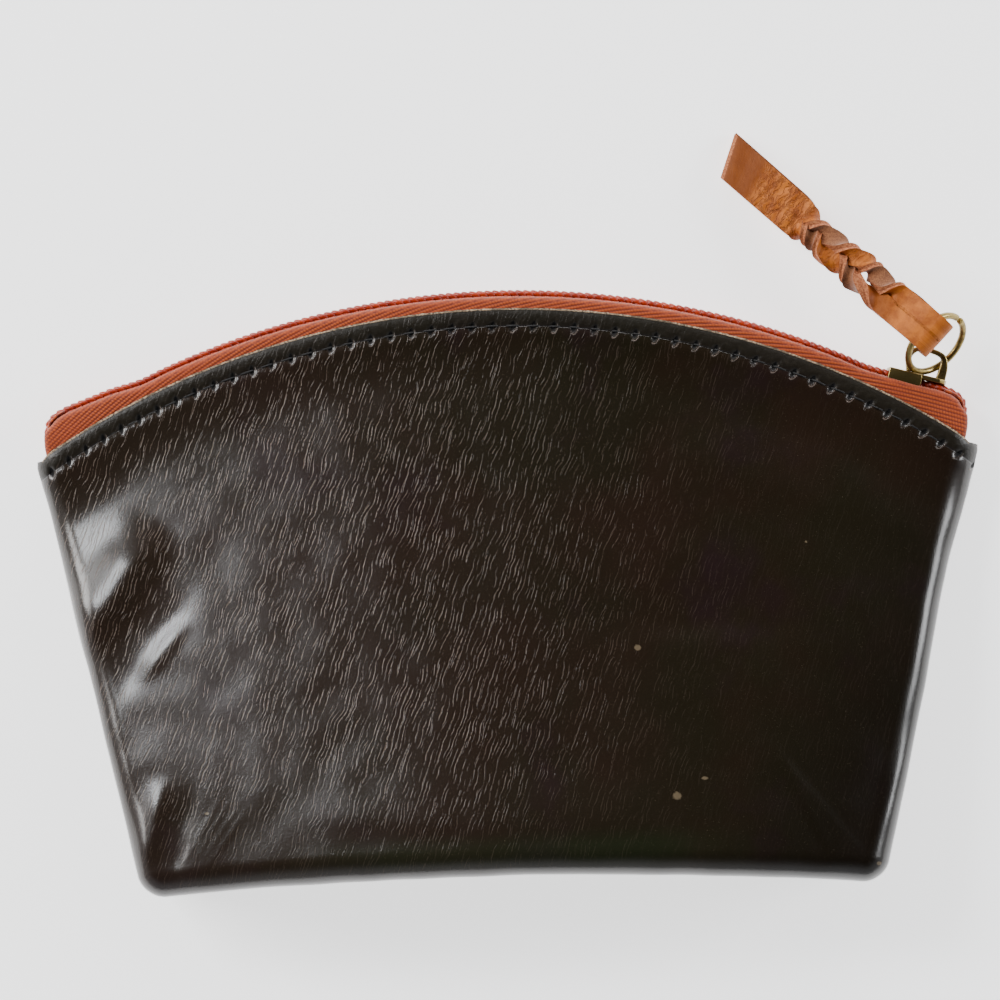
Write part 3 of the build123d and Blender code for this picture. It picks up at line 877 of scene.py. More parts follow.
def zip_line(step):
    """Outer side of the coil, over the arch and round the corners of the mouth."""
    arch_r = 150.2
    arch_y = -97.5
    left = [(-80.0, 23.4), (-80.8, 26.6), (-80.7, 30.5), (-79.5, 32.4), (-77.6, 33.6), (-75.5, 34.5),
            (-72.3, 35.7), (-69.1, 36.9)]
    right = [(69.4, 36.7), (72.5, 35.7), (75.4, 34.9), (78.0, 34.1), (80.0, 33.0), (81.2, 31.2),
             (81.3, 27.0), (80.4, 23.4)]
    middle = []
    for x in range(-64, 65, 4):
        middle.append((float(x), arch_y + math.sqrt(arch_r ** 2 - x ** 2)))
    return smooth_line(left + middle + right, step)


def inward_of(line):
    """Unit normals of a plan line, towards the pouch."""
    run = np.gradient(line, axis=0)
    run = run / np.linalg.norm(run, axis=1)[:, None]
    return np.stack((run[:, 1], -run[:, 0]), axis=1)


def beads(x, y):
    """Height of the tape's woven beads, 0 to 1: rows that slant across the tape."""
    up = y - ZIP_ARCH_Y
    along = np.arctan2(x, up) * ZIP_ARCH_R
    out = np.hypot(x, up) - ZIP_ARCH_R
    turn = math.radians(13.0)
    row = (out * math.cos(turn) - along * math.sin(turn)) / 0.66
    step = (along * math.cos(turn) + out * math.sin(turn)) / 0.54
    lane = np.floor(row)
    ridge_shape = np.abs(np.sin((row - lane) * math.pi)) ** 0.8
    bead = 0.5 + 0.5 * np.cos(2 * math.pi * (step + 0.5 * lane + (row - lane) * 0.35))
    return ridge_shape * (0.35 + 0.65 * bead ** 0.8)


def tape_half(name, front, material):
    """One side of the zip tape, turned over the edge of the mouth."""
    line = zip_line(0.18)
    inward = inward_of(line)
    flip = np.sign(line[:, 0])
    drop = smoothstep(31.5, 28.5, line[:, 1])
    under = COIL_H * (1 - drop) + 0.12 * drop
    half = len(line) / 2
    share = np.abs(np.arange(len(line)) - half) / half
    hidden_x = flip * TAPE_HIDDEN_HALF * np.minimum(share, 1.0)
    hidden = np.stack((hidden_x, ARCH_Y + np.sqrt(TAPE_HIDDEN_R ** 2 - hidden_x ** 2)), axis=1)
    start = line + inward * (under + TAPE_BEND)[:, None]
    reach = hidden - start
    length = np.linalg.norm(reach, axis=1)
    direction = reach / length[:, None]

    outer = []
    relief = []

    def row(plan, z, facing, depth):
        bead = beads(plan[:, 0], plan[:, 1]) * depth
        lift = bead * BEAD_RISE
        side = -inward * (math.cos(facing) * lift)[:, None]
        outer.append(np.column_stack((plan + side, z + math.sin(facing) * lift)))
        relief.append(bead + (1 - depth) * 0.4)

    wall_low = Z_MID + 0.9
    wall_high = TAPE_WALL - TAPE_BEND
    for z in np.linspace(wall_low, wall_high, 4)[:-1]:
        row(line + inward * under[:, None], np.full(len(line), z), 0.0, 0.25)
    for facing in np.linspace(0, math.pi / 2, 6)[:-1]:
        out = TAPE_BEND * (1 - math.cos(facing))
        plan = line + inward * (under + out)[:, None]
        row(plan, np.full(len(line), wall_high + TAPE_BEND * math.sin(facing)), facing, 0.25 + 0.5 * facing)
    for distance in np.arange(0, 6.3, 0.17):
        plan = start + direction * np.minimum(distance, length)[:, None]
        row(plan, np.full(len(line), TAPE_WALL), math.pi / 2, 1.0)
    row(hidden, np.full(len(line), TAPE_WALL), math.pi / 2, 0.0)
    inner = [np.column_stack((hidden, np.full(len(line), TAPE_WALL - TAPE_THICK)))]
    inner.append(np.column_stack((start, np.full(len(line), TAPE_WALL - TAPE_THICK))))
    knee = line + inward * (under + TAPE_THICK)[:, None]
    inner.append(np.column_stack((knee, np.full(len(line), wall_high))))
    inner.append(np.column_stack((knee, np.full(len(line), wall_low))))
    rows = outer + inner
    relief = relief + [np.full(len(line), 0.3)] * len(inner)
    points = np.stack(rows, axis=1).reshape(-1, 3)
    if not front:
        points[:, 2] = T_TOP - points[:, 2]
    count = len(rows)
    faces = grid_faces(len(line), count, 0, around=True)
    faces.append(tuple(range(count))[::-1])
    last = (len(line) - 1) * count
    faces.append(tuple(last + n for n in range(count)))
    if front:
        faces = [f[::-1] for f in faces]
    made = piece(name, points, faces, [material])
    outward(made)
    mark = made.data.attributes.new("bead", "FLOAT", "POINT")
    mark.data.foreach_set("value", np.stack(relief, axis=1).ravel().astype(np.float32))
    return made


def zip_end(name, side, material):
    """The tapes' ends, turned down together behind the corner of the mouth."""
    line = zip_line(0.2)
    line = line[(line[:, 0] * side > 77.5)]
    inward = inward_of(line)
    heights = np.linspace(ZIP_END_LOW, T_TOP - ZIP_END_LOW, 30)
    rows = []
    relief = []
    for z in heights:
        tuck = 0.55 + 0.35 * ((z - Z_MID) / 2.9) ** 2 + 0.5 * smoothstep(27.0, 23.5, line[:, 1])
        plan = line + inward * tuck[:, None]
        bead = beads(np.full(len(line), z + BEAD_SHIFT), line[:, 1])
        rows.append(np.column_stack((plan - inward * (bead * 0.12)[:, None], np.full(len(line), z))))
        relief.append(bead)
    points = np.concatenate(rows)
    made = piece(name, points, grid_faces(len(rows), len(line)), [material])
    mark = made.data.attributes.new("bead", "FLOAT", "POINT")
    mark.data.foreach_set("value", np.concatenate(relief).astype(np.float32))
    wall = made.modifiers.new("thickness", "SOLIDIFY")
    wall.thickness = 0.4 * MM
    wall.offset = 0.0
    finished(made)
    outward(made)
    return made


# ---- what repeats along a line ---------------------------------------------------------

def repeat_tree():
    """Node group: a shape set along a line at a pitch, each copy a little different."""
    tree = bpy.data.node_groups.new("repeat_along_line", "GeometryNodeTree")
    sockets = (
        ("Line", "NodeSocketGeometry"),
        ("Shape", "NodeSocketObject"),
        ("Pitch", "NodeSocketFloat"),
        ("Turn", "NodeSocketFloat"),
        ("Grow", "NodeSocketFloat"),
        ("Seed", "NodeSocketInt"),
        ("Finish", "NodeSocketMaterial"),
    )
    for name, kind in sockets:
        tree.interface.new_socket(name, in_out="INPUT", socket_type=kind)
    tree.interface.new_socket("Mesh", in_out="OUTPUT", socket_type="NodeSocketGeometry")
    made = {}

    def node(key, kind, settings=None, sockets=None):
        n = tree.nodes.new(kind)
        made[key] = n
        for name, value in (settings or {}).items():
            setattr(n, name, value)
        for name, value in (sockets or {}).items():
            if isinstance(value, tuple) and isinstance(value[0], str):
                tree.links.new(made[value[0]].outputs[value[1]], n.inputs[name])
            else:
                n.inputs[name].default_value = value

    node("in", "NodeGroupInput")
    node("curve", "GeometryNodeMeshToCurve", {}, {0: ("in", "Line")})
    node("upright", "GeometryNodeSetCurveNormal", {"mode": "Z_UP"}, {"Curve": ("curve", 0)})
    node("points", "GeometryNodeCurveToPoints", {"mode": "LENGTH"},
         {"Curve": ("upright", 0), "Length": ("in", "Pitch")})
    node("less", "ShaderNodeMath", {"operation": "MULTIPLY"}, {0: ("in", "Turn"), 1: -1.0})
    node("angle", "FunctionNodeRandomValue", {"data_type": "FLOAT"},
         {"Min": 0.0, "Max": 1.0, "Seed": ("in", "Seed")})
    tree.links.new(made["less"].outputs[0], made["angle"].inputs[2])
    tree.links.new(made["in"].outputs["Turn"], made["angle"].inputs[3])
    node("euler", "ShaderNodeCombineXYZ")
    tree.links.new(made["angle"].outputs[1], made["euler"].inputs[1])
    node("spin", "FunctionNodeEulerToRotation", {}, {0: ("euler", 0)})
    node("turned", "FunctionNodeRotateRotation", {"rotation_space": "LOCAL"},
         {"Rotation": ("points", "Rotation"), "Rotate By": ("spin", 0)})
    node("smaller", "ShaderNodeMath", {"operation": "SUBTRACT"}, {0: 1.0, 1: ("in", "Grow")})
    node("larger", "ShaderNodeMath", {"operation": "ADD"}, {0: 1.0, 1: ("in", "Grow")})
    node("size", "FunctionNodeRandomValue", {"data_type": "FLOAT"}, {"Seed": ("in", "Seed")})
    tree.links.new(made["smaller"].outputs[0], made["size"].inputs[2])
    tree.links.new(made["larger"].outputs[0], made["size"].inputs[3])
    node("shape", "GeometryNodeObjectInfo", {}, {"Object": ("in", "Shape")})
    node("copies", "GeometryNodeInstanceOnPoints", {},
         {"Points": ("points", 0), "Instance": ("shape", "Geometry"), "Rotation": ("turned", 0)})
    tree.links.new(made["size"].outputs[1], made["copies"].inputs["Scale"])
    node("real", "GeometryNodeRealizeInstances", {}, {0: ("copies", 0)})
    node("finish", "GeometryNodeSetMaterial", {}, {"Geometry": ("real", 0), "Material": ("in", "Finish")})
    node("out", "NodeGroupOutput")
    tree.links.new(made["finish"].outputs[0], made["out"].inputs[0])
    return tree


def repeated(name, tree, line, shape, pitch, finish, turn=0.0, grow=0.0, seed=1):
    """A mesh of shapes along a line, which is points in millimetres."""
    mesh = bpy.data.meshes.new(name)
    edges = [(n, n + 1) for n in range(len(line) - 1)]
    mesh.from_pydata((np.asarray(line) * MM).tolist(), edges, [])
    made = bpy.data.objects.new(name, mesh)
    bpy.context.scene.collection.objects.link(made)
    nodes = made.modifiers.new("repeat", "NODES")
    nodes.node_group = tree
    values = {"Shape": shape, "Pitch": pitch * MM, "Turn": turn, "Grow": grow, "Seed": seed, "Finish": finish}
    for item in tree.interface.items_tree:
        if item.in_out == "INPUT" and item.name in values:
            nodes[item.identifier] = values[item.name]
    finished(made)
    made.data.polygons.foreach_set("use_smooth", np.ones(len(made.data.polygons), bool))
    return made


def tube(centres, radius, sides):
    """Points and faces of a tube along a list of centres, closed at its ends."""
    centres = np.asarray(centres, float)
    radius = np.broadcast_to(np.asarray(radius, float), (len(centres),))
    run = np.gradient(centres, axis=0)
    run = run / np.linalg.norm(run, axis=1)[:, None]
    first = np.cross(run[0], (0.31, 0.95, 0.12))
    side = first / np.linalg.norm(first)
    points = []
    for centre, ahead, r in zip(centres, run, radius):
        side = side - ahead * (side @ ahead)
        side = side / np.linalg.norm(side)
        up = np.cross(ahead, side)
        for n in range(sides):
            a = 2 * math.pi * n / sides
            points.append(centre + (side * math.cos(a) + up * math.sin(a)) * r)
    faces = grid_faces(len(centres), sides, 0, around=True)
    faces.append(tuple(range(sides))[::-1])
    faces.append(tuple((len(centres) - 1) * sides + n for n in range(sides)))
    return np.array(points), faces


def shape_only(name, points, faces):
    """A shape that is only repeated, and never shown itself."""
    mesh = bpy.data.meshes.new(name)
    mesh.from_pydata((np.asarray(points) * MM).tolist(), [], faces)
    return bpy.data.objects.new(name, mesh)


def coil_turn(up):
    """One turn of the coil. Local z runs along the zip, x inwards and y in the depth."""
    wire = 0.47
    slant = 0.42
    centres = []
    steps = 16
    for n in range(steps + 1):
        a = 2 * math.pi * n / steps
        advance = COIL_PITCH * (n / steps - 0.5) + slant * math.cos(a)
        centres.append((math.cos(a) * (COIL_H * 0.56 - wire), up * math.sin(a) * (0.95 - wire), advance))
    points, faces = tube(centres, wire, 8)
    return shape_only("coil_turn", points, faces[:-2])


def lock_stitch(length, radius, dip):
    """A short stitch along local z, its ends sunk towards local -y."""
    centres = []
    for t in np.linspace(-1, 1, 9):
        centres.append((0.0, -dip * abs(t) ** 3, t * length / 2))
    points, faces = tube(centres, radius, 6)
    return shape_only("stitch", points, faces)


def offset_line(line, inward, distance, z):
    """A line moved inwards by a distance and laid at height z."""
    plan = line + inward * distance
    return np.column_stack((plan, np.full(len(plan), z)))


# ---- slider ---------------------------------------------------------------------------------

SLIDER_AT = np.array((72.56, 35.30))
SLIDER_TURN = math.radians(-15.0)
PLATE_TOP = 1.2


def at_slider(points):
    """From the slider's own frame (along, up, depth) to the pouch's."""
    points = np.asarray(points, float)
    x, y = turned(points[:, 0], points[:, 1], SLIDER_TURN)
    return np.column_stack((x + SLIDER_AT[0], y + SLIDER_AT[1], points[:, 2] + Z_MID))


def prism(outline, low, high, order):
    """Points and faces of an extruded outline; order places (u, v, w) on the axes."""
    count = len(outline)
    points = []
    for w in (low, high):
        for u, v in outline:
            p = [0.0, 0.0, 0.0]
            p[order[0]], p[order[1]], p[order[2]] = u, v, w
            points.append(p)
    faces = [tuple(range(count)), tuple(range(2 * count - 1, count - 1, -1))]
    for n in range(count):
        k = (n + 1) % count
        faces.append((n, n + count, k + count, k))
    return np.array(points), faces


def merged(parts):
    """Several (points, faces) as one."""
    points = []
    faces = []
    for part_points, part_faces in parts:
        start = len(points)
        points.extend(part_points)
        faces.extend(tuple(start + i for i in f) for f in part_faces)
    return np.array(points), faces


def bevelled(made, width, segments=3):
    """Rounds the edges of a hard piece and turns its faces outwards."""
    outward(made)
    edge = made.modifiers.new("edge", "BEVEL")
    edge.width = width * MM
    edge.segments = segments
    edge.limit_method = "ANGLE"
    edge.angle_limit = math.radians(28)
    return finished(made)


def slider_body(brass):
    """Top plate, the two skirts that hold the coils, the inner plate and the divider."""
    half = 5.2
    plate = [(-half, -2.7), (-half + 0.4, -3.0), (0.6, -3.1), (1.8, -3.25), (half - 1.3, -3.25),
             (half - 0.4, -2.5), (half, -1.0), (half, 1.0), (half - 0.4, 2.5), (half - 1.3, 3.25),
             (1.8, 3.25), (0.6, 3.1), (-half + 0.4, 3.0), (-half, 2.7)]
    parts = [prism(plate, 0.42, PLATE_TOP, (0, 2, 1))]
    skirt = [(-half, PLATE_TOP - 0.05), (-half, -1.05), (-half + 0.35, -1.25), (-0.2, -1.2), (0.45, -1.0),
             (0.75, -0.55), (0.75, 0.3), (0.6, PLATE_TOP - 0.05)]
    for side in (1, -1):
        near, far = sorted((side * 2.74, side * 3.55))
        parts.append(prism(skirt, near, far, (0, 1, 2)))
    inner = [
        (-half + 0.6, -1.9),
        (half - 1.5, -1.9),
        (half - 0.7, 0.0),
        (half - 1.5, 1.9),
        (-half + 0.6, 1.9),
    ]
    parts.append(prism(inner, -3.0, -2.35, (0, 2, 1)))
    divider = [(2.3, -0.35), (half - 0.4, -0.35), (half - 0.1, 0.0), (half - 0.4, 0.35), (2.3, 0.35)]
    parts.append(prism(divider, -2.4, 0.5, (0, 2, 1)))
    points, faces = merged(parts)
    made = piece("slider_body_cast", at_slider(points), faces, [brass])
    return bevelled(made, 0.16)


def slider_crown(brass):
    """The bail over the top plate, without the round dimple in the foot it was pressed from."""
    outer = [(5.0, PLATE_TOP), (4.95, 3.2), (4.6, 4.6), (3.9, 5.6), (2.6, 6.05), (0.9, 6.2), (-0.8, 6.05),
             (-2.0, 5.3), (-2.6, 4.1), (-2.45, 2.7), (-2.0, PLATE_TOP)]
    inner = [(-1.15, PLATE_TOP), (-1.5, 2.6), (-1.7, 3.8), (-1.3, 4.7), (-0.6, 5.2), (0.8, 5.35), (2.4, 5.2),
             (3.3, 4.9), (3.55, 4.2), (3.5, 3.2), (3.3, PLATE_TOP)]
    outer = smooth_line(outer, 0.35)
    inner = smooth_line(inner[::-1], 0.35)
    rows = 40
    pick = np.linspace(0, 1, rows)

    def spread(line):
        length = np.concatenate(([0], np.cumsum(np.linalg.norm(np.diff(line, axis=0), axis=1))))
        return np.stack([np.interp(pick * length[-1], length, line[:, n]) for n in range(2)], axis=1)

    outer = spread(outer)
    inner = spread(inner)
    points = []
    for a, b in zip(outer, inner):
        wide = 0.75
        for u, w in ((a, -wide), (a, wide), (b, wide), (b, -wide)):
            points.append((u[0], u[1], w))
    faces = grid_faces(rows, 4, 0, around=True)
    faces.append((3, 2, 1, 0))
    last = (rows - 1) * 4
    faces.append((last, last + 1, last + 2, last + 3))
    made = piece("slider_crown_bent", at_slider(points), faces, [brass])
    return bevelled(made, 0.22)


# ---- jump ring -----------------------------------------------------------------------------

RING_R = 5.865
WIRE_R = 0.6
RING_AT = np.array((75.85, 41.60, 8.75))
RING_LONG = math.radians(41.4)
RING_TILT = math.radians(52.4)


def jump_ring(brass):
    """A wire ring with its cut ends not quite in line."""
    centres = []
    for t in np.linspace(0, 1, 97):
        a = math.radians(10.5 + 355.0 * t)
        spring = 0.22 * (t - 0.5) ** 3 * 8
        x = RING_R * math.cos(a)
        y = RING_R * math.sin(a)
        up = spring
        y, up = turned(y, up, RING_TILT)
        x, y = turned(x, y, RING_LONG)
        centres.append((x, y, up))
    points, faces = tube(np.array(centres) + RING_AT, WIRE_R, 16)
    made = piece("jump_ring_wire", points, faces, [brass])
    return bevelled(made, 0.10, 2)


# ---- pull tab ----------------------------------------------------------------------------------

TAB_AT = np.array((73.48, 44.28, 12.78))
TAB_DIR = math.radians(136.6)
TAB_DROP = math.radians(13.6)
TAB_HALF = 3.75
TAB_LAYER = 1.05
TAB_END = 46.9
SLIT_START = 8.4
SLIT_END = 27.9
FOLD_AT = -1.4
FOLD_R = 1.85
LAYER_SLIP = 0.36


def keyed(s, keys):
    """Smooth values between (place, value) pairs."""
    places = [k[0] for k in keys]
    values = [k[1] for k in keys]
    fine = np.linspace(places[0] - 2, places[-1] + 2, 600)
    raw = np.interp(fine, places, values)
    window = 25
    kernel = np.ones(window) / window
    soft = np.convolve(np.pad(raw, window // 2, mode="edge"), kernel, mode="valid")
    return np.interp(s, fine, soft)


ROLL = {
    1: [(7.4, 0), (9.8, 140), (12.5, 175), (15.0, 330), (18.0, 372), (21.0, 500), (25.0, 560), (28.6, 720)],
    -1: [(9.0, 0), (11.6, 70), (15.0, 120), (18.4, 300), (20.2, 352), (23.0, 385), (25.6, 540), (28.9, 720)],
}
SIDEWAYS = {
    1: [(7.6, 1.6), (10.0, 1.05), (12.0, 1.5), (15.0, 1.9), (17.5, 1.3), (19.5, 1.25), (26.5, 0.8),
        (29.4, 1.95), (46.0, 2.1)],
    -1: [(7.6, -1.65), (11.0, -1.6), (13.5, -1.75), (15.5, -1.8), (17.5, -1.05), (21.0, -1.5), (26.5, -0.8),
         (29.4, -1.6), (46.0, -1.65)],
}


def strap_axis(s):
    """Height of the strap's middle above its straight line: it humps gently in the braid."""
    return 0.35 * np.sin(np.clip((s - 6) / 24, 0, 1) * math.pi)


def strap_half(side):
    """Rows of one half of the folded strap, from its lower end round the ring to its upper end."""
    across = 13
    grain_t = np.linspace(-1, 1, across)
    stations = []
    lengths = np.arange(TAB_END, FOLD_AT, -0.26)
    for s in lengths:
        stations.append((s, -1, None))
    for a in np.linspace(-math.pi / 2, -3 * math.pi / 2, 15):
        stations.append((FOLD_AT, 0, a))
    for s in lengths[::-1]:
        stations.append((s, 1, None))
    rows = []
    marks = []
    for s, layer, bend in stations:
        roll = side * math.radians(float(keyed(s, ROLL[side])))
        lateral = float(keyed(s, SIDEWAYS[side]))
        half = TAB_HALF / 2
        if bend is not None:
            middle = np.array((FOLD_AT + FOLD_R * math.cos(bend), lateral, FOLD_R * math.sin(bend)))
            normal = np.array((math.cos(bend), 0.0, math.sin(bend)))
            wide = np.array((0.0, 1.0, 0.0))
        else:
            apart = 0.54 + (FOLD_R - 0.54) * (1 - float(smoothstep(0.2, 6.2, s)))
            wide = np.array((0.0, math.cos(roll), math.sin(roll)))
            normal = np.array((0.0, -math.sin(roll), math.cos(roll))) * layer
            middle = np.array((s, lateral, float(strap_axis(s)))) + normal * apart
        slipped = 0.0
        if layer < 0:
            in_slit = smoothstep(SLIT_START - 5, SLIT_START, s) * (1 - smoothstep(SLIT_END, SLIT_END + 4, s))
            slipped = LAYER_SLIP * (1 - float(in_slit))
        middle = middle + wide * slipped
        narrow = 1.0
        if bend is None and SLIT_START < s < SLIT_END:
            narrow = 1 - 0.05 * math.sin((s - SLIT_START) / (SLIT_END - SLIT_START) * math.pi)
        thick = TAB_LAYER / 2
        end = float(smoothstep(TAB_END - 0.9, TAB_END, s))
        ring = []
        mark = []
        for t in grain_t:
            ring.append(middle + wide * (half * narrow * t) + normal * thick * (1 - 0.55 * end))
            mark.append((s, lateral + half * t, 0))
        for t in grain_t[::-1]:
            ring.append(middle + wide * (half * narrow * t) - normal * thick)
            mark.append((s, lateral + half * t, 1))
        rows.append(np.array(ring))
        marks.append(np.array(mark))
    rows = np.array(rows)
    marks = np.array(marks)
    s = rows[:, :, 0]
    skew = smoothstep(34.0, TAB_END, s) * 0.46
    rows[:, :, 0] = s + skew * (rows[:, :, 1] - 0.35)
    return rows, marks


def crumple(marks):
    """Transverse creases pressed into the strap."""
    s = marks[:, :, 0]
    t = marks[:, :, 1]
    where = smoothstep(26.5, 29.5, s) * (1 - smoothstep(36.5, 40.0, s))
    flat = np.stack((s.ravel(), t.ravel() * 0.32, np.zeros(s.size)), axis=1)
    wave = soft_noise(flat, 0.85, 5.0).reshape(s.shape)
    gentle = soft_noise(flat, 0.30, 8.0).reshape(s.shape)
    return 0.22 * wave * where + 0.16 * gentle


def pull_tab(materials):
    """The tan strap folded over the ring, slit and plaited, its end cut on a slant."""
    points = []
    faces = []
    kinds = []
    uvs = []
    for side in (-1, 1):
        rows, marks = strap_half(side)
        count = rows.shape[1]
        half = count // 2
        lift = crumple(marks)
        grain = marks[:, :, 2] == 0
        direction = rows[:, :half].mean(axis=1) - rows[:, half:].mean(axis=1)
        direction = direction / np.linalg.norm(direction, axis=1)[:, None]
        rows = rows + direction[:, None, :] * np.where(grain, lift, lift * 0.6)[:, :, None]
        start = len(points)
        points.extend(rows.reshape(-1, 3))
        uvs.extend(marks.reshape(-1, 3))
        stations = len(rows)
        for i in range(stations - 1):
            s = marks[i, 0, 0]
            braid = SLIT_START - 0.5 < s < SLIT_END + 0.5
            lower = i < stations // 2
            for j in range(count):
                k = (j + 1) % count
                a = start + i * count
                b = a + count
                faces.append((a + j, a + k, b + k, b + j))
                if j in (half - 1, count - 1):
                    kind = 2
                elif j < half - 1:
                    kind = 1 if lower and braid else 0
                else:
                    kind = 1
                if s > TAB_END - 0.9 and j < half:
                    kind = 2
                kinds.append(kind)
        faces.append(tuple(start + j for j in range(count))[::-1])
        faces.append(tuple(start + (stations - 1) * count + j for j in range(count)))
        kinds.extend([2, 2])
    points = np.array(points)
    x, z = turned(points[:, 0], points[:, 2], -TAB_DROP)
    # positive sideways is the strap's upper right side
    x, y = turned(x, -points[:, 1], TAB_DIR)
    placed = np.column_stack((x, y, z)) + TAB_AT
    placed[:, 2] = np.maximum(placed[:, 2], 0.05)
    made = piece("pull_tab_plaited", placed, faces, materials, kinds)
    layer = made.data.uv_layers.new(name="strap")
    uvs = np.array(uvs)
    corners = np.empty(len(made.data.loops), np.int32)
    made.data.loops.foreach_get("vertex_index", corners)
    flat = np.stack((uvs[corners, 0] / 50.0, uvs[corners, 1] / 10.0), axis=1)
    layer.data.foreach_set("uv", flat.ravel())
    outward(made)
    made.data.set_sharp_from_angle(angle=math.radians(50))
    return made


# ---- stage ---------------------------------------------------------------------------------------

FRAME_WIDE = 175.53
CAMERA_AT = (-1.07, 15.83, 808.0)
CAMERA_ROLL = math.radians(-1.2)
FOCUS_Z = 8.0


def camera():
    """Straight above the pouch, with a long lens."""
    data = bpy.data.cameras.new("camera")
    data.sensor_width = 36.0
    data.lens = 36.0 * (CAMERA_AT[2] - FOCUS_Z) / FRAME_WIDE
    data.clip_start = 0.01
    data.clip_end = 20.0
    made = bpy.data.objects.new("camera", data)
    made.location = [c * MM for c in CAMERA_AT]
    made.rotation_euler = (0.0, 0.0, CAMERA_ROLL)
    bpy.context.scene.collection.objects.link(made)
    bpy.context.scene.camera = made


def area_light(name, where, size, power, tint=(1.0, 1.0, 1.0)):
    data = bpy.data.lights.new(name, "AREA")
    data.shape = "RECTANGLE"
    data.size = size[0]
    data.size_y = size[1]
    data.energy = power
    data.color = tint
    made = bpy.data.objects.new(name, data)
    made.location = where
    made.rotation_euler = (-Vector(where)).to_track_quat("-Z", "Y").to_euler()
    bpy.context.scene.collection.objects.link(made)


def stage():
    """Plain pale floor and soft light from a window on the left."""
    size = 3000.0
    corners = [(-size, -size, -0.05), (size, -size, -0.05), (size, size, -0.05), (-size, size, -0.05)]
    floor = piece("floor", corners, [(0, 1, 2, 3)], [studio_paper()])
    area_light("window", (-1.40, 0.62, 0.72), (0.7, 0.7), 26.0, (1.0, 0.985, 0.97))
    area_light("pane", (-0.74, 0.70, 1.12), (0.30, 0.30), 9.0, (0.94, 0.97, 1.0))
    area_light("fill", (1.5, 0.35, 0.60), (0.6, 0.6), 16.0, (0.96, 0.98, 1.0))
    area_light("far", (0.1, 1.8, 0.60), (1.2, 0.4), 16.0)
    world = bpy.data.worlds.new("studio")
    world.use_nodes = True
    tree = world.node_tree
    back = tree.nodes["Background"]
    place = tree.nodes.new("ShaderNodeTexCoord")
    height = tree.nodes.new("ShaderNodeSeparateXYZ")
    shade = tree.nodes.new("ShaderNodeMapRange")
    tree.links.new(place.outputs["Generated"], height.inputs[0])
    tree.links.new(height.outputs[2], shade.inputs["Value"])
    shade.interpolation_type = "SMOOTHSTEP"
    shade.inputs["From Min"].default_value = 0.30
    shade.inputs["From Max"].default_value = 0.85
    shade.inputs["To Min"].default_value = 0.75
    shade.inputs["To Max"].default_value = 0.05
    tree.links.new(shade.outputs[0], back.inputs["Strength"])
    back.inputs["Color"].default_value = (0.94, 0.96, 1.0, 1.0)
    bpy.context.scene.world = world


# ---- the pouch, put together ------------------------------------------------------------------------

def belongs(made, body=None, stands_for=()):
    """Bakes a piece in place or sets the body it rides on, and hides the CAD nodes it stands for."""
    if body is None:
        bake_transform(made)
    else:
        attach(made, body)
    if stands_for:
        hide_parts(*stands_for)


def sew_shell():
    """The two leather halves and the two halves of the lining."""
    # the rim takes the finish after its face's own, so the cut edge's rim is suede
    skins = [dark_leather(), leather_edge(), suede_back()]
    front = leather_half("front_leather", True, skins)
    belongs(front, None, ("front_panel", "front_panel_fold", "front_panel_dome"))
    back = leather_half("back_leather", False, skins)
    belongs(back, "pouch", ("back_panel",))
    cloth = [lining_cloth()] * 2
    front = lining_half("front_lining_cloth", True, cloth)
    belongs(front, None, ("front_lining", "front_lining_dome"))
    back = lining_half("back_lining_cloth", False, cloth)
    belongs(back, "pouch", ("back_lining",))


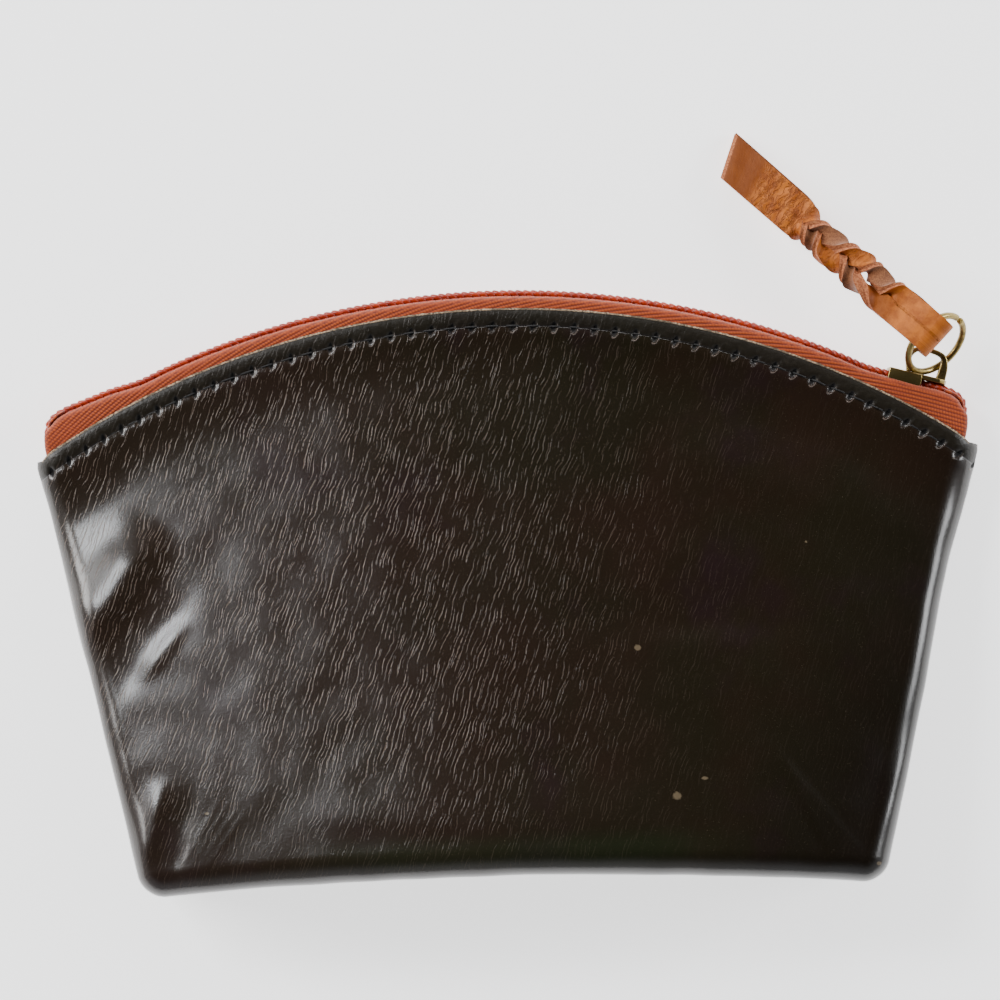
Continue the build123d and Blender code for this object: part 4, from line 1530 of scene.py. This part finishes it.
def set_zip(tree):
    """Tapes, coils with their core and stitches, and the folded tape ends."""
    tape = tape_cloth()
    nylon = coil_nylon()
    sewing = spun_thread("orange_thread", rgb(130, 34, 8), rgb(200, 72, 22), 0.3)
    line = zip_line(0.5)
    keep = line[:, 1] > 29.3
    line = line[keep]
    inward = inward_of(line)
    for half, front in (("front", True), ("back", False)):
        body = None if front else "pouch"
        up = 1 if front else -1
        made = tape_half(half + "_tape_woven", front, tape)
        belongs(made, body, (half + "_tape",))
        middle = Z_MID + up * 1.35
        shape = coil_turn(up)
        made = repeated(half + "_coil_wound", tree, offset_line(line, inward, COIL_H / 2, middle), shape,
                        COIL_PITCH, nylon)
        belongs(made, body, (half + "_coil",))
        points, faces = tube(offset_line(line, inward, COIL_H / 2, middle), 0.28, 6)
        made = piece(half + "_coil_core", points, faces, [sewing])
        outward(made)
        belongs(made, body, (half + "_coil_cord",))
        shape = lock_stitch(1.2, 0.17, 0.12)
        beside = offset_line(line, inward, COIL_H - 0.02, Z_MID + up * 2.5)
        made = repeated(half + "_coil_stitches", tree, beside, shape, COIL_PITCH, sewing, turn=0.12,
                        grow=0.06, seed=3)
        belongs(made, body, (half + "_coil_thread",))
    for side, word in ((-1, "left"), (1, "right")):
        made = zip_end("zip_end_fold_" + word, side, tape)
        belongs(made, "pouch", ("zip_end_" + word,))


def arch_line(z):
    """The topstitch's line, from the first stitch to the last."""
    step = STITCH_PITCH / STITCH_R
    count = stitch_count()
    turns = (np.arange(0, count * 4 + 1) / 4 - count / 2) * step
    x = STITCH_R * np.sin(turns)
    y = ARCH_Y + STITCH_R * np.cos(turns)
    return np.column_stack((x, y, np.full(len(x), z)))


def sew_stitches(tree):
    """The topstitch of both halves; the seam threads keep their CAD shape."""
    black = spun_thread("black_thread", rgb(6, 5, 5), rgb(18, 15, 14), 0.0)
    for half, up in (("front", 1), ("back", -1)):
        surface = T_TOP - 0.16 if up > 0 else 0.16
        shape = lock_stitch(STITCH_PITCH * 0.98, 0.19, -up * 1.1)
        line = arch_line(surface)
        made = repeated(half + "_topstitch_thread", tree, line[2:-2], shape, STITCH_PITCH, black, turn=0.05,
                        grow=0.04, seed=5)
        belongs(made, None if up > 0 else "pouch", (half + "_topstitch",))
    for node in ("side_seam_thread_left", "side_seam_thread_right", "base_seam_thread"):
        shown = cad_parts[node]
        shown.data.materials.clear()
        shown.data.materials.append(black)


def hang_pull():
    """Slider, jump ring and pull tab."""
    brass = antique_brass()
    belongs(slider_body(brass), "slider", ("slider_body",))
    belongs(slider_crown(brass), "slider", ("slider_crown",))
    belongs(jump_ring(brass), "ring", ("jump_ring",))
    tan = [tan_grain(), tan_flesh(), tan_cut()]
    belongs(pull_tab(tan), "tab", ("pull_tab",))


camera()
stage()
sew_shell()
repeat = repeat_tree()
set_zip(repeat)
sew_stitches(repeat)
hang_pull()
